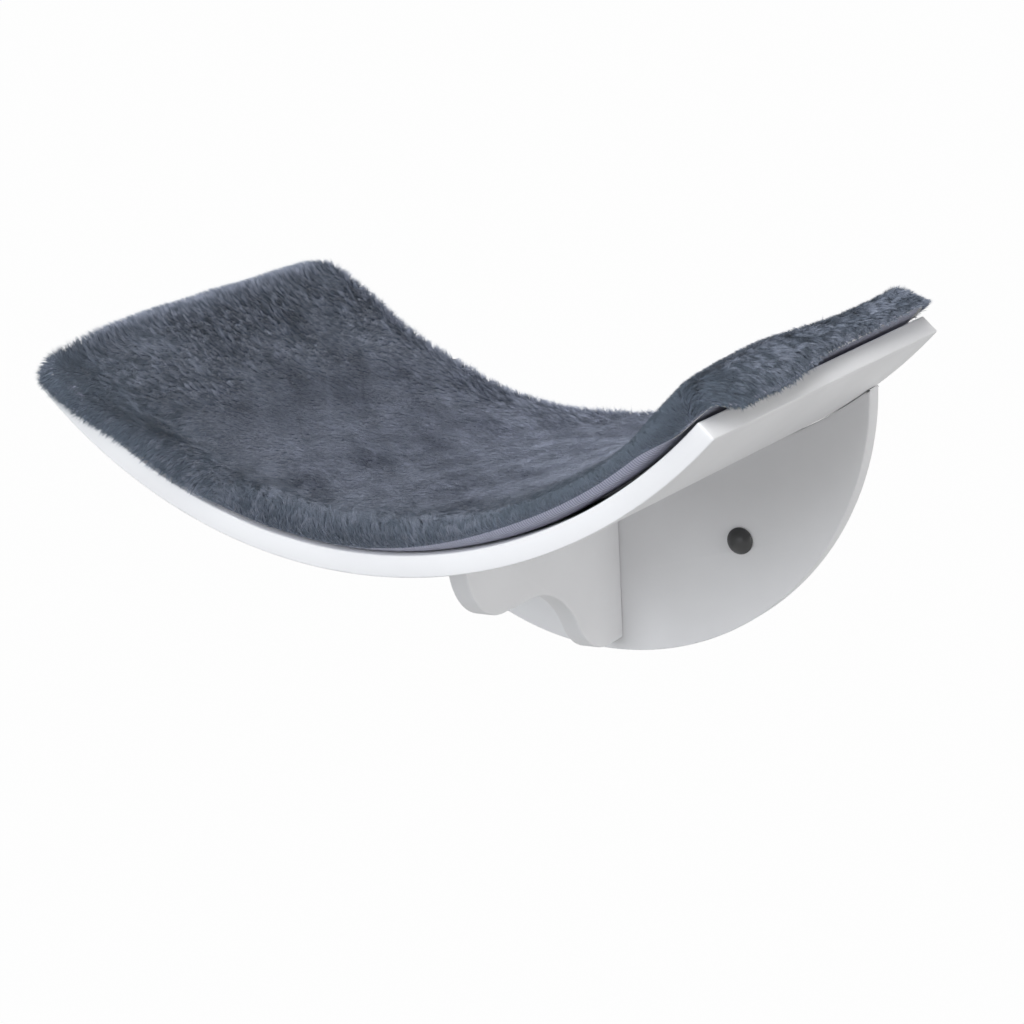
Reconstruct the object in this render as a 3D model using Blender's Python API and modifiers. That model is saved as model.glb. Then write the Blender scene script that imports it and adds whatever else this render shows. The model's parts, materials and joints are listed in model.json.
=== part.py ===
"""Wall-mounted cat bed: a bent board with a plush cushion, held by a half-round wall plate and a rib.

Metres, +Z up. +X runs to the right and +Y into the wall. The origin lies on the back of the wall plate,
midway between its two wall-screw holes, so the whole bed stands at negative Y.
"""

from math import acos, asin, atan, cos, pi, radians, sin, sqrt

import bmesh
import bpy
from mathutils import Matrix, Vector

# The shelf is a board bent to part of a circle
SHELF_WIDTH = 0.410
SHELF_DEPTH = 0.280
SHELF_RADIUS = 0.282
SHELF_THICKNESS = 0.012

# The wall plate is half a disc that hangs under the shelf, flush with its back edge
PLATE_RADIUS = 0.1686
PLATE_DROP = 0.1134
PLATE_THICKNESS = 0.012

# Each wall-screw hole is counterbored from the front, and a cap plugs the counterbore
WALL_HOLE_SPACING = 0.170
WALL_HOLE_DROP = 0.0395
WALL_HOLE_DIAMETER = 0.0052
COUNTERBORE_DIAMETER = 0.0104
COUNTERBORE_DEPTH = 0.0068

# The rib stands under the middle of the shelf: a round nose, a flat run, an ogee and a heel against the plate
RIB_THICKNESS = 0.012
RIB_REACH = 0.178
RIB_NOSE_HEIGHT = 0.054
RIB_NOSE_RADIUS = 0.040
RIB_OGEE_LENGTH = 0.090
RIB_OGEE_UPPER_SHARE = 0.62
RIB_HEEL_FLAT = 0.018
RIB_HEEL_MARGIN = 0.008

# Sharp edges of the three boards are eased before painting
BOARD_EDGE_ROUND = 0.0010

# Countersunk wood screws, all alike
SCREW_LENGTH = 0.040
SCREW_DIAMETER = 0.0036
SCREW_HEAD_DIAMETER = 0.0076
SCREW_HEAD_HEIGHT = 0.0022
SCREW_TIP_LENGTH = 0.0045
SCREW_TIP_DIAMETER = 0.0010
SCREW_HEAD_SINK = 0.0004
RECESS_LENGTH = 0.0042
RECESS_WIDTH = 0.0011
RECESS_DEPTH = 0.0016
SHELF_SCREW_PLACES = (-0.120, -0.050, 0.050, 0.120)
RIB_SCREW_BACK_PLACE = 0.060
RIB_SCREW_FRONT_PLACE = 0.150
PLATE_SCREW_UPPER_DROP = 0.022
PLATE_SCREW_LOWER_DROP = 0.082

# Black caps over the wall screws: a dome with a hollow stem
CAP_DIAMETER = 0.0160
CAP_HEIGHT = 0.0048
CAP_RIM_HEIGHT = 0.0010
CAP_STEM_DIAMETER = 0.0098
CAP_STEM_LENGTH = 0.0024
CAP_WALL = 0.0012

# Hook-and-loop tape holds the cushion: hook strips on the shelf, loop strips on the cushion
TAPE_LENGTH = 0.060
TAPE_WIDTH = 0.020
TAPE_THICKNESS = 0.0010
TAPE_END_MARGIN = 0.026
TAPE_SIDE_MARGIN = 0.022

# The cushion: plush above and knitted backing below, sewn together at a seam halfway up, round a wadding pad
CUSHION_HEIGHT = 0.0175
CUSHION_CROWN = 0.0040
CUSHION_END_OVERHANG = 0.0105
CUSHION_FRONT_OVERHANG = 0.0030
CUSHION_WALL_GAP = 0.0020
CUSHION_CORNER_RADIUS = 0.018
CUSHION_DRAW_IN = 0.0018
CUSHION_SEAM_HEIGHT = 0.0092
PLUSH_ROUND = 0.0110
PLUSH_THICKNESS = 0.0060
BACKING_ROUND = 0.0075
BACKING_THICKNESS = 0.0010
WADDING_EDGE = 0.0015

# The cushion is fuller along its ends and its back than in its middle, and fullest at its right end
CUSHION_RIGHT_SWELL = 0.0080
CUSHION_LEFT_SWELL = 0.0036
CUSHION_BACK_SWELL = 0.0032
CUSHION_SWELL_REACH = 0.078
RIGHT_SWELL_CORNER_SHARE = 0.45

# Gap left between two pieces that touch in the real bed, and how far a cutter runs past what it cuts
SEAT_GAP = 0.0003
CUT_OVERRUN = 0.002

# How finely curves are divided
SHELF_STEPS = 64
PLATE_STEPS = 56
CORNER_STEPS = 10
ROUND_STEPS = 20
SCREW_STEPS = 14
DOME_STEPS = 6
TAPE_STEPS = 6
CUSHION_COLUMNS = 26
CUSHION_ROWS = 14
EDGE_BAND_SHARE = 0.24

# Tolerances of the mesh clean-up
WELD_DISTANCE = 0.00001
FLAT_ANGLE = radians(0.2)
SHARP_ANGLE = radians(30)

# Places that follow from the sizes above
UNDERSIDE_Z = WALL_HOLE_DROP
ARC_CENTRE_Z = UNDERSIDE_Z + SHELF_RADIUS
SHELF_TOP_RADIUS = SHELF_RADIUS - SHELF_THICKNESS
SHELF_HALF_ANGLE = asin(SHELF_WIDTH / 2 / SHELF_RADIUS)
SHELF_HALF_ARC = SHELF_TOP_RADIUS * SHELF_HALF_ANGLE
SHELF_MID_Y = -SHELF_DEPTH / 2
PLATE_MID_Y = -PLATE_THICKNESS / 2
PLATE_CENTRE_Z = UNDERSIDE_Z - PLATE_DROP + PLATE_RADIUS
RIB_BACK_Y = -PLATE_THICKNESS - SEAT_GAP
RIB_TOP_Z = UNDERSIDE_Z - SEAT_GAP
HOOK_LOW = SEAT_GAP
HOOK_HIGH = HOOK_LOW + TAPE_THICKNESS
LOOP_LOW = HOOK_HIGH + SEAT_GAP
LOOP_HIGH = LOOP_LOW + TAPE_THICKNESS
BACKING_ON_TAPE = LOOP_HIGH + SEAT_GAP
TAPE_MIDDLE_ARC = SHELF_HALF_ARC - TAPE_END_MARGIN - TAPE_LENGTH / 2
TAPE_INNER_ARC = TAPE_MIDDLE_ARC - TAPE_LENGTH / 2
TAPE_MIDDLE_DEPTH = SHELF_DEPTH / 2 - TAPE_SIDE_MARGIN - TAPE_WIDTH / 2
CUSHION_HALF_ARC = SHELF_HALF_ARC + CUSHION_END_OVERHANG
CUSHION_FRONT_Y = -SHELF_DEPTH - CUSHION_FRONT_OVERHANG
CUSHION_BACK_Y = -CUSHION_WALL_GAP
CUSHION_MID_Y = (CUSHION_FRONT_Y + CUSHION_BACK_Y) / 2
CUSHION_HALF_DEPTH = (CUSHION_BACK_Y - CUSHION_FRONT_Y) / 2


def clear_scene():
    for item in list(bpy.data.objects):
        bpy.data.objects.remove(item, do_unlink=True)


def make_collection(name):
    collection = bpy.data.collections.new(name)
    bpy.context.scene.collection.children.link(collection)
    return collection


def make_material(name, colour, roughness, metallic=0.0):
    material = bpy.data.materials.new(name)
    material.use_nodes = True
    shader = material.node_tree.nodes["Principled BSDF"]
    shader.inputs["Base Color"].default_value = (*colour, 1.0)
    shader.inputs["Roughness"].default_value = roughness
    shader.inputs["Metallic"].default_value = metallic
    return material


def add_object(name, mesh, collection, material=None, matrix=None):
    item = bpy.data.objects.new(name, mesh)
    collection.objects.link(item)
    if material:
        mesh.materials.clear()
        mesh.materials.append(material)
    if matrix:
        item.matrix_world = matrix
    return item


def shade(item):
    item.data.shade_smooth()
    item.data.set_sharp_from_angle(angle=SHARP_ANGLE)


def hide_cutter(item):
    item.hide_render = True
    item.display_type = "WIRE"


def cut(item, cutter):
    boolean = item.modifiers.new("cut " + cutter.name, "BOOLEAN")
    boolean.operation = "DIFFERENCE"
    boolean.object = cutter


def ease_edges(item, width):
    """Rounds every sharp edge a little. It comes before the holes are cut, which stay sharp."""
    bevel = item.modifiers.new("eased edges", "BEVEL")
    bevel.width = width
    bevel.segments = 2
    bevel.limit_method = "ANGLE"
    bevel.angle_limit = SHARP_ANGLE


def on_arc(along, y, height):
    """The point at this distance along the shelf's top, this depth, and this height square to the top."""
    angle = along / SHELF_TOP_RADIUS
    radius = SHELF_TOP_RADIUS - height
    return Vector((radius * sin(angle), y, ARC_CENTRE_Z - radius * cos(angle)))


def face_outwards(shape):
    bmesh.ops.recalc_face_normals(shape, faces=shape.faces[:])
    if shape.calc_volume(signed=True) < 0:
        bmesh.ops.reverse_faces(shape, faces=shape.faces[:])


def slab(name, columns, rows, place, collection, material):
    """A closed slab: a grid extruded once, whose corner (u, v) of each side is put where place says."""
    shape = bmesh.new()
    bmesh.ops.create_grid(shape, x_segments=columns, y_segments=rows, size=1.0)
    made = bmesh.ops.extrude_face_region(shape, geom=shape.faces[:])["geom"]
    upper = {item for item in made if isinstance(item, bmesh.types.BMVert)}
    for vertex in shape.verts:
        vertex.co = place(vertex.co.x, vertex.co.y, vertex in upper)
    face_outwards(shape)
    mesh = bpy.data.meshes.new(name)
    shape.to_mesh(mesh)
    shape.free()
    item = add_object(name, mesh, collection, material)
    shade(item)
    return item


def arc_points(centre, radius, start, end, steps):
    """Points on a circle, with angles measured from the first axis towards the second."""
    turns = [start + (end - start) * step / steps for step in range(steps + 1)]
    return [(centre[0] + radius * cos(turn), centre[1] + radius * sin(turn)) for turn in turns]


def take_mesh(item):
    """The mesh that an object shows with its modifiers, in place of the object."""
    bpy.context.view_layer.update()
    evaluated = item.evaluated_get(bpy.context.evaluated_depsgraph_get())
    mesh = bpy.data.meshes.new_from_object(evaluated)
    mesh.name = item.name
    bpy.data.objects.remove(item, do_unlink=True)
    return mesh


def board(name, outline, thickness, collection, material, matrix):
    """A flat board: the outline is drawn in the local XY plane and the thickness is centred on it."""
    curve = bpy.data.curves.new(name, "CURVE")
    curve.dimensions = "2D"
    curve.fill_mode = "BOTH"
    curve.extrude = thickness / 2
    spline = curve.splines.new("POLY")
    spline.points.add(len(outline) - 1)
    for point, (x, y) in zip(spline.points, outline):
        point.co = (x, y, 0, 1)
    spline.use_cyclic_u = True
    mesh = take_mesh(add_object(name, curve, collection))
    shape = bmesh.new()
    shape.from_mesh(mesh)
    bmesh.ops.remove_doubles(shape, verts=shape.verts[:], dist=WELD_DISTANCE)
    bmesh.ops.dissolve_limit(shape, angle_limit=FLAT_ANGLE, verts=[], edges=shape.edges[:])
    face_outwards(shape)
    shape.to_mesh(mesh)
    shape.free()
    item = add_object(name, mesh, collection, material, matrix)
    shade(item)
    return item


def turned_mesh(name, profile, steps, collection):
    """A solid of revolution about local Z: the profile runs down its outer side, both ends on the axis."""
    mesh = bpy.data.meshes.new(name)
    shape = bmesh.new()
    points = [shape.verts.new((radius, 0, height)) for radius, height in profile]
    for upper, lower in zip(points, points[1:]):
        shape.edges.new((upper, lower))
    shape.to_mesh(mesh)
    shape.free()
    item = add_object(name, mesh, collection)
    screw = item.modifiers.new("turned", "SCREW")
    screw.axis = "Z"
    screw.steps = steps
    screw.render_steps = steps
    screw.use_merge_vertices = True
    screw.merge_threshold = WELD_DISTANCE
    turned = take_mesh(item)
    turned.shade_smooth()
    turned.set_sharp_from_angle(angle=SHARP_ANGLE)
    return turned


def make_shelf(collection, material):
    def place(u, v, upper):
        radius = SHELF_TOP_RADIUS if upper else SHELF_RADIUS
        angle = u * SHELF_HALF_ANGLE
        y = SHELF_MID_Y + v * SHELF_DEPTH / 2
        return Vector((radius * sin(angle), y, ARC_CENTRE_Z - radius * cos(angle)))

    return slab("seat_shelf", SHELF_STEPS, 1, place, collection, material)


def plate_outline():
    """Half a disc, with its top cut to the shelf's underside."""
    top_radius = SHELF_RADIUS + SEAT_GAP
    apart = ARC_CENTRE_Z - PLATE_CENTRE_Z
    corner = acos((apart ** 2 + PLATE_RADIUS ** 2 - top_radius ** 2) / (2 * apart * PLATE_RADIUS))
    top_half_angle = asin(PLATE_RADIUS * sin(corner) / top_radius)
    up = pi / 2
    lower = arc_points((0, PLATE_CENTRE_Z), PLATE_RADIUS, up - corner, up + corner - 2 * pi, PLATE_STEPS)
    down = -pi / 2
    upper = arc_points(
        (0, ARC_CENTRE_Z), top_radius, down - top_half_angle, down + top_half_angle, PLATE_STEPS
    )
    return lower + upper[1:-1]


def rib_outline():
    """The rib's side: local X is its distance from the wall, local Y its height."""
    back = -RIB_BACK_Y
    nose = back + RIB_REACH
    flat_z = UNDERSIDE_Z - RIB_NOSE_HEIGHT
    heel_z = UNDERSIDE_Z - PLATE_DROP + RIB_HEEL_MARGIN
    nose_round = min(RIB_NOSE_RADIUS, RIB_NOSE_HEIGHT - SEAT_GAP)
    heel_front = back + RIB_HEEL_FLAT
    fall = flat_z - heel_z
    bend = 2 * atan(fall / RIB_OGEE_LENGTH)
    radii = RIB_OGEE_LENGTH / sin(bend)
    upper_radius = radii * RIB_OGEE_UPPER_SHARE
    lower_radius = radii - upper_radius
    down = -pi / 2
    heel = arc_points((heel_front, heel_z + lower_radius), lower_radius, down, down + bend, CORNER_STEPS)
    hollow_centre = (heel_front + RIB_OGEE_LENGTH, flat_z - upper_radius)
    hollow = arc_points(hollow_centre, upper_radius, pi / 2 + bend, pi / 2, CORNER_STEPS)
    nose_centre = (nose - nose_round, flat_z + nose_round)
    nose_arc = arc_points(nose_centre, nose_round, down, 0, CORNER_STEPS)
    return [(back, RIB_TOP_Z), (back, heel_z)] + heel + hollow[1:] + nose_arc + [(nose, RIB_TOP_Z)]


def screw_profile(clearance, overrun):
    """The screw's side from the top down, made larger all round by the clearance for its hole."""
    head = SCREW_HEAD_DIAMETER / 2 + clearance
    shank = SCREW_DIAMETER / 2 + clearance
    tip = SCREW_TIP_DIAMETER / 2 + clearance
    neck_z = -SCREW_HEAD_HEIGHT - clearance
    point_z = -SCREW_LENGTH - clearance
    taper_z = -SCREW_LENGTH + SCREW_TIP_LENGTH
    return [
        (0, overrun),
        (head, overrun),
        (head, -clearance),
        (shank, neck_z),
        (shank, taper_z),
        (tip, point_z),
        (0, point_z),
    ]


def screw_body_profile():
    """The screw itself has no step above its cone."""
    return [(0, 0), (SCREW_HEAD_DIAMETER / 2, 0)] + screw_profile(0, 0)[3:]


def screw_places():
    """Each screw's name and matrix: local Z points out of its head."""
    places = {}
    sink = SHELF_TOP_RADIUS + SCREW_HEAD_SINK
    for number, x in enumerate(SHELF_SCREW_PLACES, 1):
        angle = asin(x / SHELF_RADIUS)
        spot = Vector((sink * sin(angle), PLATE_MID_Y, ARC_CENTRE_Z - sink * cos(angle)))
        places[f"shelf_screw_{number}"] = Matrix.Translation(spot) @ Matrix.Rotation(-angle, 4, "Y")
    top = ARC_CENTRE_Z - sink
    for name, distance in (
        ("rib_screw_back", RIB_SCREW_BACK_PLACE),
        ("rib_screw_front", RIB_SCREW_FRONT_PLACE),
    ):
        places[name] = Matrix.Translation((0, -distance, top))
    for name, drop in (
        ("plate_screw_upper", PLATE_SCREW_UPPER_DROP),
        ("plate_screw_lower", PLATE_SCREW_LOWER_DROP),
    ):
        spot = Vector((0, -SCREW_HEAD_SINK, UNDERSIDE_Z - drop))
        places[name] = Matrix.Translation(spot) @ Matrix.Rotation(-pi / 2, 4, "X")
    return places


def cross_outline():
    """The cross recess in a screw head, seen along the screw."""
    arm = RECESS_LENGTH / 2
    half = RECESS_WIDTH / 2
    quarter = [(arm, -half), (arm, half), (half, half)]
    outline = []
    for turn in range(4):
        spin = Matrix.Rotation(turn * pi / 2, 2)
        outline += [tuple(spin @ Vector(point)) for point in quarter]
    return outline


def make_screws(collection, cutters, material, shelf, plate, rib):
    """The screws, with one cutter each for the holes that they stand in."""
    held_by = {"shelf": (shelf, plate), "rib": (shelf, rib), "plate": (plate, rib)}
    screw_mesh = turned_mesh("screw", screw_body_profile(), SCREW_STEPS, collection)
    hole_mesh = turned_mesh("screw_hole", screw_profile(SEAT_GAP, CUT_OVERRUN), SCREW_STEPS, cutters)
    for name, matrix in screw_places().items():
        screw = add_object(name, screw_mesh, collection, material, matrix)
        recess = board(name + "_recess", cross_outline(), 2 * RECESS_DEPTH, cutters, None, matrix)
        hide_cutter(recess)
        cut(screw, recess)
        hole = add_object(name + "_hole", hole_mesh, cutters, None, matrix)
        hide_cutter(hole)
        for piece in held_by[name.split("_")[0]]:
            cut(piece, hole)


def wall_hole_profile():
    """A counterbored hole: local Z points out of the plate's front."""
    bore = WALL_HOLE_DIAMETER / 2
    mouth = COUNTERBORE_DIAMETER / 2
    end = -PLATE_THICKNESS - CUT_OVERRUN
    return [
        (0, CUT_OVERRUN),
        (mouth, CUT_OVERRUN),
        (mouth, -COUNTERBORE_DEPTH),
        (bore, -COUNTERBORE_DEPTH),
        (bore, end),
        (0, end),
    ]


def cap_profile():
    """A dome on a short rim, with a stem that is hollow from behind."""
    rim = CAP_DIAMETER / 2
    rise = CAP_HEIGHT - CAP_RIM_HEIGHT
    ball = (rim ** 2 + rise ** 2) / (2 * rise)
    centre = CAP_HEIGHT - ball
    spread = asin(rim / ball)
    angles = [spread * step / DOME_STEPS for step in range(DOME_STEPS + 1)]
    dome = [(ball * sin(angle), centre + ball * cos(angle)) for angle in angles]
    stem = CAP_STEM_DIAMETER / 2
    inside = stem - CAP_WALL
    ceiling = CAP_HEIGHT - 2 * CAP_WALL
    return dome + [
        (rim, SEAT_GAP),
        (stem, SEAT_GAP),
        (stem, -CAP_STEM_LENGTH),
        (inside, -CAP_STEM_LENGTH),
        (inside, ceiling),
        (0, ceiling),
    ]


def make_caps(collection, cutters, material, plate):
    cap_mesh = turned_mesh("cap", cap_profile(), ROUND_STEPS, collection)
    hole_mesh = turned_mesh("wall_hole", wall_hole_profile(), ROUND_STEPS, cutters)
    for side, sign in (("left", -1), ("right", 1)):
        spot = Vector((sign * WALL_HOLE_SPACING / 2, -PLATE_THICKNESS, 0))
        matrix = Matrix.Translation(spot) @ Matrix.Rotation(pi / 2, 4, "X")
        hole = add_object(f"wall_hole_{side}", hole_mesh, cutters, None, matrix)
        hide_cutter(hole)
        cut(plate, hole)
        add_object(f"screw_cap_{side}", cap_mesh, collection, material, matrix)


def make_tapes(collection, hook_material, loop_material):
    """Four hook strips near the shelf's corners, and the four loop strips that meet them."""
    for side, u_sign in (("left", -1), ("right", 1)):
        for row, v_sign in (("front", -1), ("back", 1)):
            for kind, low, high, material in (
                ("hook", HOOK_LOW, HOOK_HIGH, hook_material),
                ("loop", LOOP_LOW, LOOP_HIGH, loop_material),
            ):
                def place(u, v, upper, u_sign=u_sign, v_sign=v_sign, low=low, high=high):
                    arc = u_sign * TAPE_MIDDLE_ARC + u * TAPE_LENGTH / 2
                    y = SHELF_MID_Y + v_sign * TAPE_MIDDLE_DEPTH + v * TAPE_WIDTH / 2
                    return on_arc(arc, y, high if upper else low)

                slab(f"{kind}_tape_{row}_{side}", TAPE_STEPS, 1, place, collection, material)


def spread(share, half, edge_round):
    """Where a share from -1 to 1 of the way across lies, and how far down the rounded edge that is."""
    sign = -1 if share < 0 else 1
    share = abs(share)
    flat = half - edge_round
    start = 1 - EDGE_BAND_SHARE
    if share <= start:
        return sign * flat * share / start, 0.0
    turn = (share - start) / EDGE_BAND_SHARE * pi / 2
    return sign * (flat + edge_round * sin(turn)), 1 - cos(turn)


def rounded_plan(along, across, half_arc, half_depth, corner):
    """Rounds the plan's corners and draws its sides in between them."""
    past = Vector((abs(along) - (half_arc - corner), abs(across) - (half_depth - corner))) / corner
    if past.x > 0 and past.y > 0:
        new_along = half_arc - corner + corner * past.x * sqrt(1 - past.y ** 2 / 2)
        new_across = half_depth - corner + corner * past.y * sqrt(1 - past.x ** 2 / 2)
        along *= new_along / abs(along)
        across *= new_across / abs(across)
    drawn_along = 1 - CUSHION_DRAW_IN / half_arc * (1 - (across / half_depth) ** 2)
    drawn_across = 1 - CUSHION_DRAW_IN / half_depth * (1 - (along / half_arc) ** 2)
    return along * drawn_along, across * drawn_across


def cushion_point(u, v, inset, edge_round, middle_height, seam_height):
    """A point of a dished or domed cushion surface, from the seam at its rim to the middle height."""
    half_arc = CUSHION_HALF_ARC - inset
    half_depth = CUSHION_HALF_DEPTH - inset
    along, drop_along = spread(u, half_arc, edge_round)
    across, drop_across = spread(v, half_depth, edge_round)
    height = seam_height + (middle_height - seam_height) * (1 - drop_along) * (1 - drop_across)
    along, across = rounded_plan(along, across, half_arc, half_depth, CUSHION_CORNER_RADIUS - inset)
    return on_arc(along, CUSHION_MID_Y + across, height)


def eased(share):
    """A smooth step from 0 to 1."""
    share = min(1, max(0, share))
    return share ** 2 * (3 - 2 * share)


def swollen(u, v):
    """How much fuller the cushion is near its ends and its back."""
    along = spread(u, CUSHION_HALF_ARC, PLUSH_ROUND)[0]
    across = spread(v, CUSHION_HALF_DEPTH, PLUSH_ROUND)[0]
    at_right = eased(1 - (CUSHION_HALF_ARC - along) / CUSHION_SWELL_REACH)
    at_left = eased(1 - (CUSHION_HALF_ARC + along) / CUSHION_SWELL_REACH)
    at_back = eased(1 - (CUSHION_HALF_DEPTH - across) / CUSHION_SWELL_REACH)
    off_front = eased((CUSHION_HALF_DEPTH + across) / CUSHION_SWELL_REACH)
    off_corners = 1 - (1 - RIGHT_SWELL_CORNER_SHARE) * v ** 2
    right = CUSHION_RIGHT_SWELL * at_right * off_corners
    return right + CUSHION_LEFT_SWELL * at_left * off_front + CUSHION_BACK_SWELL * at_back


def crowned(u, v, height):
    return height + CUSHION_CROWN * (1 - u ** 2) * (1 - v ** 2) + swollen(u, v)


def underside(u):
    """The cushion lies on the shelf in the middle and is lifted by the tapes near its ends."""
    along = abs(spread(u, CUSHION_HALF_ARC, PLUSH_ROUND)[0])
    return SEAT_GAP + (BACKING_ON_TAPE - SEAT_GAP) * eased(along / TAPE_INNER_ARC)


def make_cushion(collection, plush, knit, wadding):
    seam_low = CUSHION_SEAM_HEIGHT - SEAT_GAP

    def plush_place(u, v, upper):
        inset = 0 if upper else PLUSH_THICKNESS
        top = crowned(u, v, CUSHION_HEIGHT) - inset
        return cushion_point(u, v, inset, PLUSH_ROUND - inset, top, CUSHION_SEAM_HEIGHT)

    def backing_place(u, v, upper):
        inset = BACKING_THICKNESS if upper else 0
        return cushion_point(u, v, inset, BACKING_ROUND - inset, underside(u) + inset, seam_low)

    def wadding_place(u, v, upper):
        inset = PLUSH_THICKNESS + SEAT_GAP
        if upper:
            middle, rim = crowned(u, v, CUSHION_HEIGHT) - inset, CUSHION_SEAM_HEIGHT
        else:
            middle = underside(u) + BACKING_THICKNESS + SEAT_GAP
            rim = CUSHION_SEAM_HEIGHT - WADDING_EDGE
        return cushion_point(u, v, inset, PLUSH_ROUND - inset, middle, rim)

    slab("plush_cover", CUSHION_COLUMNS, CUSHION_ROWS, plush_place, collection, plush)
    slab("cushion_backing", CUSHION_COLUMNS, CUSHION_ROWS, backing_place, collection, knit)
    slab("cushion_wadding", CUSHION_COLUMNS, CUSHION_ROWS, wadding_place, collection, wadding)


def main():
    clear_scene()
    bed = make_collection("wall_mounted_cat_bed")
    cutters = make_collection("cutters")

    white_paint = make_material("white_paint", (0.78, 0.78, 0.82), 0.45)
    grey_plush = make_material("grey_plush", (0.09, 0.105, 0.14), 0.95)
    grey_knit = make_material("grey_knit", (0.27, 0.28, 0.36), 0.9)
    white_wadding = make_material("white_wadding", (0.8, 0.8, 0.78), 0.95)
    zinc = make_material("zinc", (0.6, 0.6, 0.58), 0.35, 1.0)
    black_plastic = make_material("black_plastic", (0.05, 0.05, 0.05), 0.35)
    hook_tape = make_material("hook_tape", (0.7, 0.7, 0.7), 0.8)
    loop_tape = make_material("loop_tape", (0.6, 0.6, 0.62), 0.95)

    shelf = make_shelf(bed, white_paint)
    stand_up = Matrix.Rotation(pi / 2, 4, "X")
    plate_matrix = Matrix.Translation((0, PLATE_MID_Y, 0)) @ stand_up
    plate = board("wall_plate", plate_outline(), PLATE_THICKNESS, bed, white_paint, plate_matrix)
    face_sideways = Matrix.Rotation(-pi / 2, 4, "Z") @ stand_up
    rib = board("support_rib", rib_outline(), RIB_THICKNESS, bed, white_paint, face_sideways)
    for piece in (shelf, plate, rib):
        ease_edges(piece, BOARD_EDGE_ROUND)

    make_screws(bed, cutters, zinc, shelf, plate, rib)
    make_caps(bed, cutters, black_plastic, plate)
    make_tapes(bed, hook_tape, loop_tape)
    make_cushion(bed, grey_plush, grey_knit, white_wadding)


main()
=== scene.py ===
# %% [markdown]
# # A wall-mounted cat bed
#
# The bed is a board bent to part of a circle and painted white. A half-round plate holds it to the wall,
# a shaped rib stands under its middle, and a plush cushion lies in its hollow.
#
# The measured model comes first. It gives every piece its place, and the pieces made below are fitted to it.
# Everything is in metres: +X is to the right, +Y goes into the wall and +Z is up.

# %% Load the measured model
import json
from math import asin, atan, cos, hypot, pi, radians, sin

import bmesh
import bpy
import numpy as np
from mathutils import Matrix, Vector

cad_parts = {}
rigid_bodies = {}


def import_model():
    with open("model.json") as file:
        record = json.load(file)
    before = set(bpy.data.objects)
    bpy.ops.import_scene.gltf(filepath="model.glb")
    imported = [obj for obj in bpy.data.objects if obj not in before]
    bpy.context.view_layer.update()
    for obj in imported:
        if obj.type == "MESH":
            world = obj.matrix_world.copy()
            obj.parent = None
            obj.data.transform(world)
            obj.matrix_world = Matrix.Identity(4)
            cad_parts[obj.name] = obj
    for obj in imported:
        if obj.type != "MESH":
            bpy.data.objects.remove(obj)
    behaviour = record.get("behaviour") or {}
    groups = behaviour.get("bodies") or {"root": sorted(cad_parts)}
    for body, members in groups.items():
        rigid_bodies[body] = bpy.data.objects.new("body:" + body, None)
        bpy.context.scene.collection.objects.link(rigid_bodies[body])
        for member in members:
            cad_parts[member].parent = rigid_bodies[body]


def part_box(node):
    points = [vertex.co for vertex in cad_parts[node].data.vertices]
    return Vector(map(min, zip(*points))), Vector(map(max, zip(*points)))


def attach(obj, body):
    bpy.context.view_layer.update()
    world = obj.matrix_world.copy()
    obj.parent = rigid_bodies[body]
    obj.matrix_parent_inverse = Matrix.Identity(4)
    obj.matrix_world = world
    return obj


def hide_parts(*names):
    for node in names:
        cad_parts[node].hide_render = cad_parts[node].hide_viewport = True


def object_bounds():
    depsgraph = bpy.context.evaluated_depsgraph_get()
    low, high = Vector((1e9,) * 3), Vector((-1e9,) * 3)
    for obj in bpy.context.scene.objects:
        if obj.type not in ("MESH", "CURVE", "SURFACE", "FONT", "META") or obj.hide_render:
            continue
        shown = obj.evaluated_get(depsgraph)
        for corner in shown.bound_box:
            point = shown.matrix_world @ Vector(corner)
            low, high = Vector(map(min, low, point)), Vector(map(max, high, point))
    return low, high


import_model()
cad_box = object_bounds()
bpy.ops.object.select_all(action="DESELECT")
print("measured model:", [round(value * 1000) for value in cad_box[1] - cad_box[0]], "mm")

# %% [markdown]
# ## Camera
#
# The camera stands to the front and right of the bed, a little above it, with a long lens. Its angle, roll
# and distance set how much the two ends of the shelf differ in size, so they are given as numbers.

# %% Camera
CAMERA_AZIMUTH = radians(29.99)
CAMERA_ELEVATION = radians(14.0)
CAMERA_ROLL = radians(-2.64)
CAMERA_PLACE = Vector((0.99233, -1.84603, 0.53232))
CAMERA_LENS_MM = 128.62
CAMERA_SENSOR_MM = 36

bpy.ops.object.camera_add(location=CAMERA_PLACE)
camera = bpy.context.object
camera.data.lens = CAMERA_LENS_MM
camera.data.sensor_width = CAMERA_SENSOR_MM
camera.data.sensor_fit = "HORIZONTAL"
camera.matrix_world = (
    Matrix.Translation(CAMERA_PLACE)
    @ Matrix.Rotation(CAMERA_AZIMUTH, 4, "Z")
    @ Matrix.Rotation(pi / 2 - CAMERA_ELEVATION, 4, "X")
    @ Matrix.Rotation(CAMERA_ROLL, 4, "Z")
)
bpy.context.scene.camera = camera

# %% [markdown]
# ## Shader maths
#
# A pattern on a surface is a sum: so much noise here, less there. Blender does such sums with Math nodes,
# which are slow to read as a list. A small class lets them be written as ordinary Python expressions instead.
# A second one adds nodes to a tree, and a third is a material with the few things this bed's finishes need.


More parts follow.
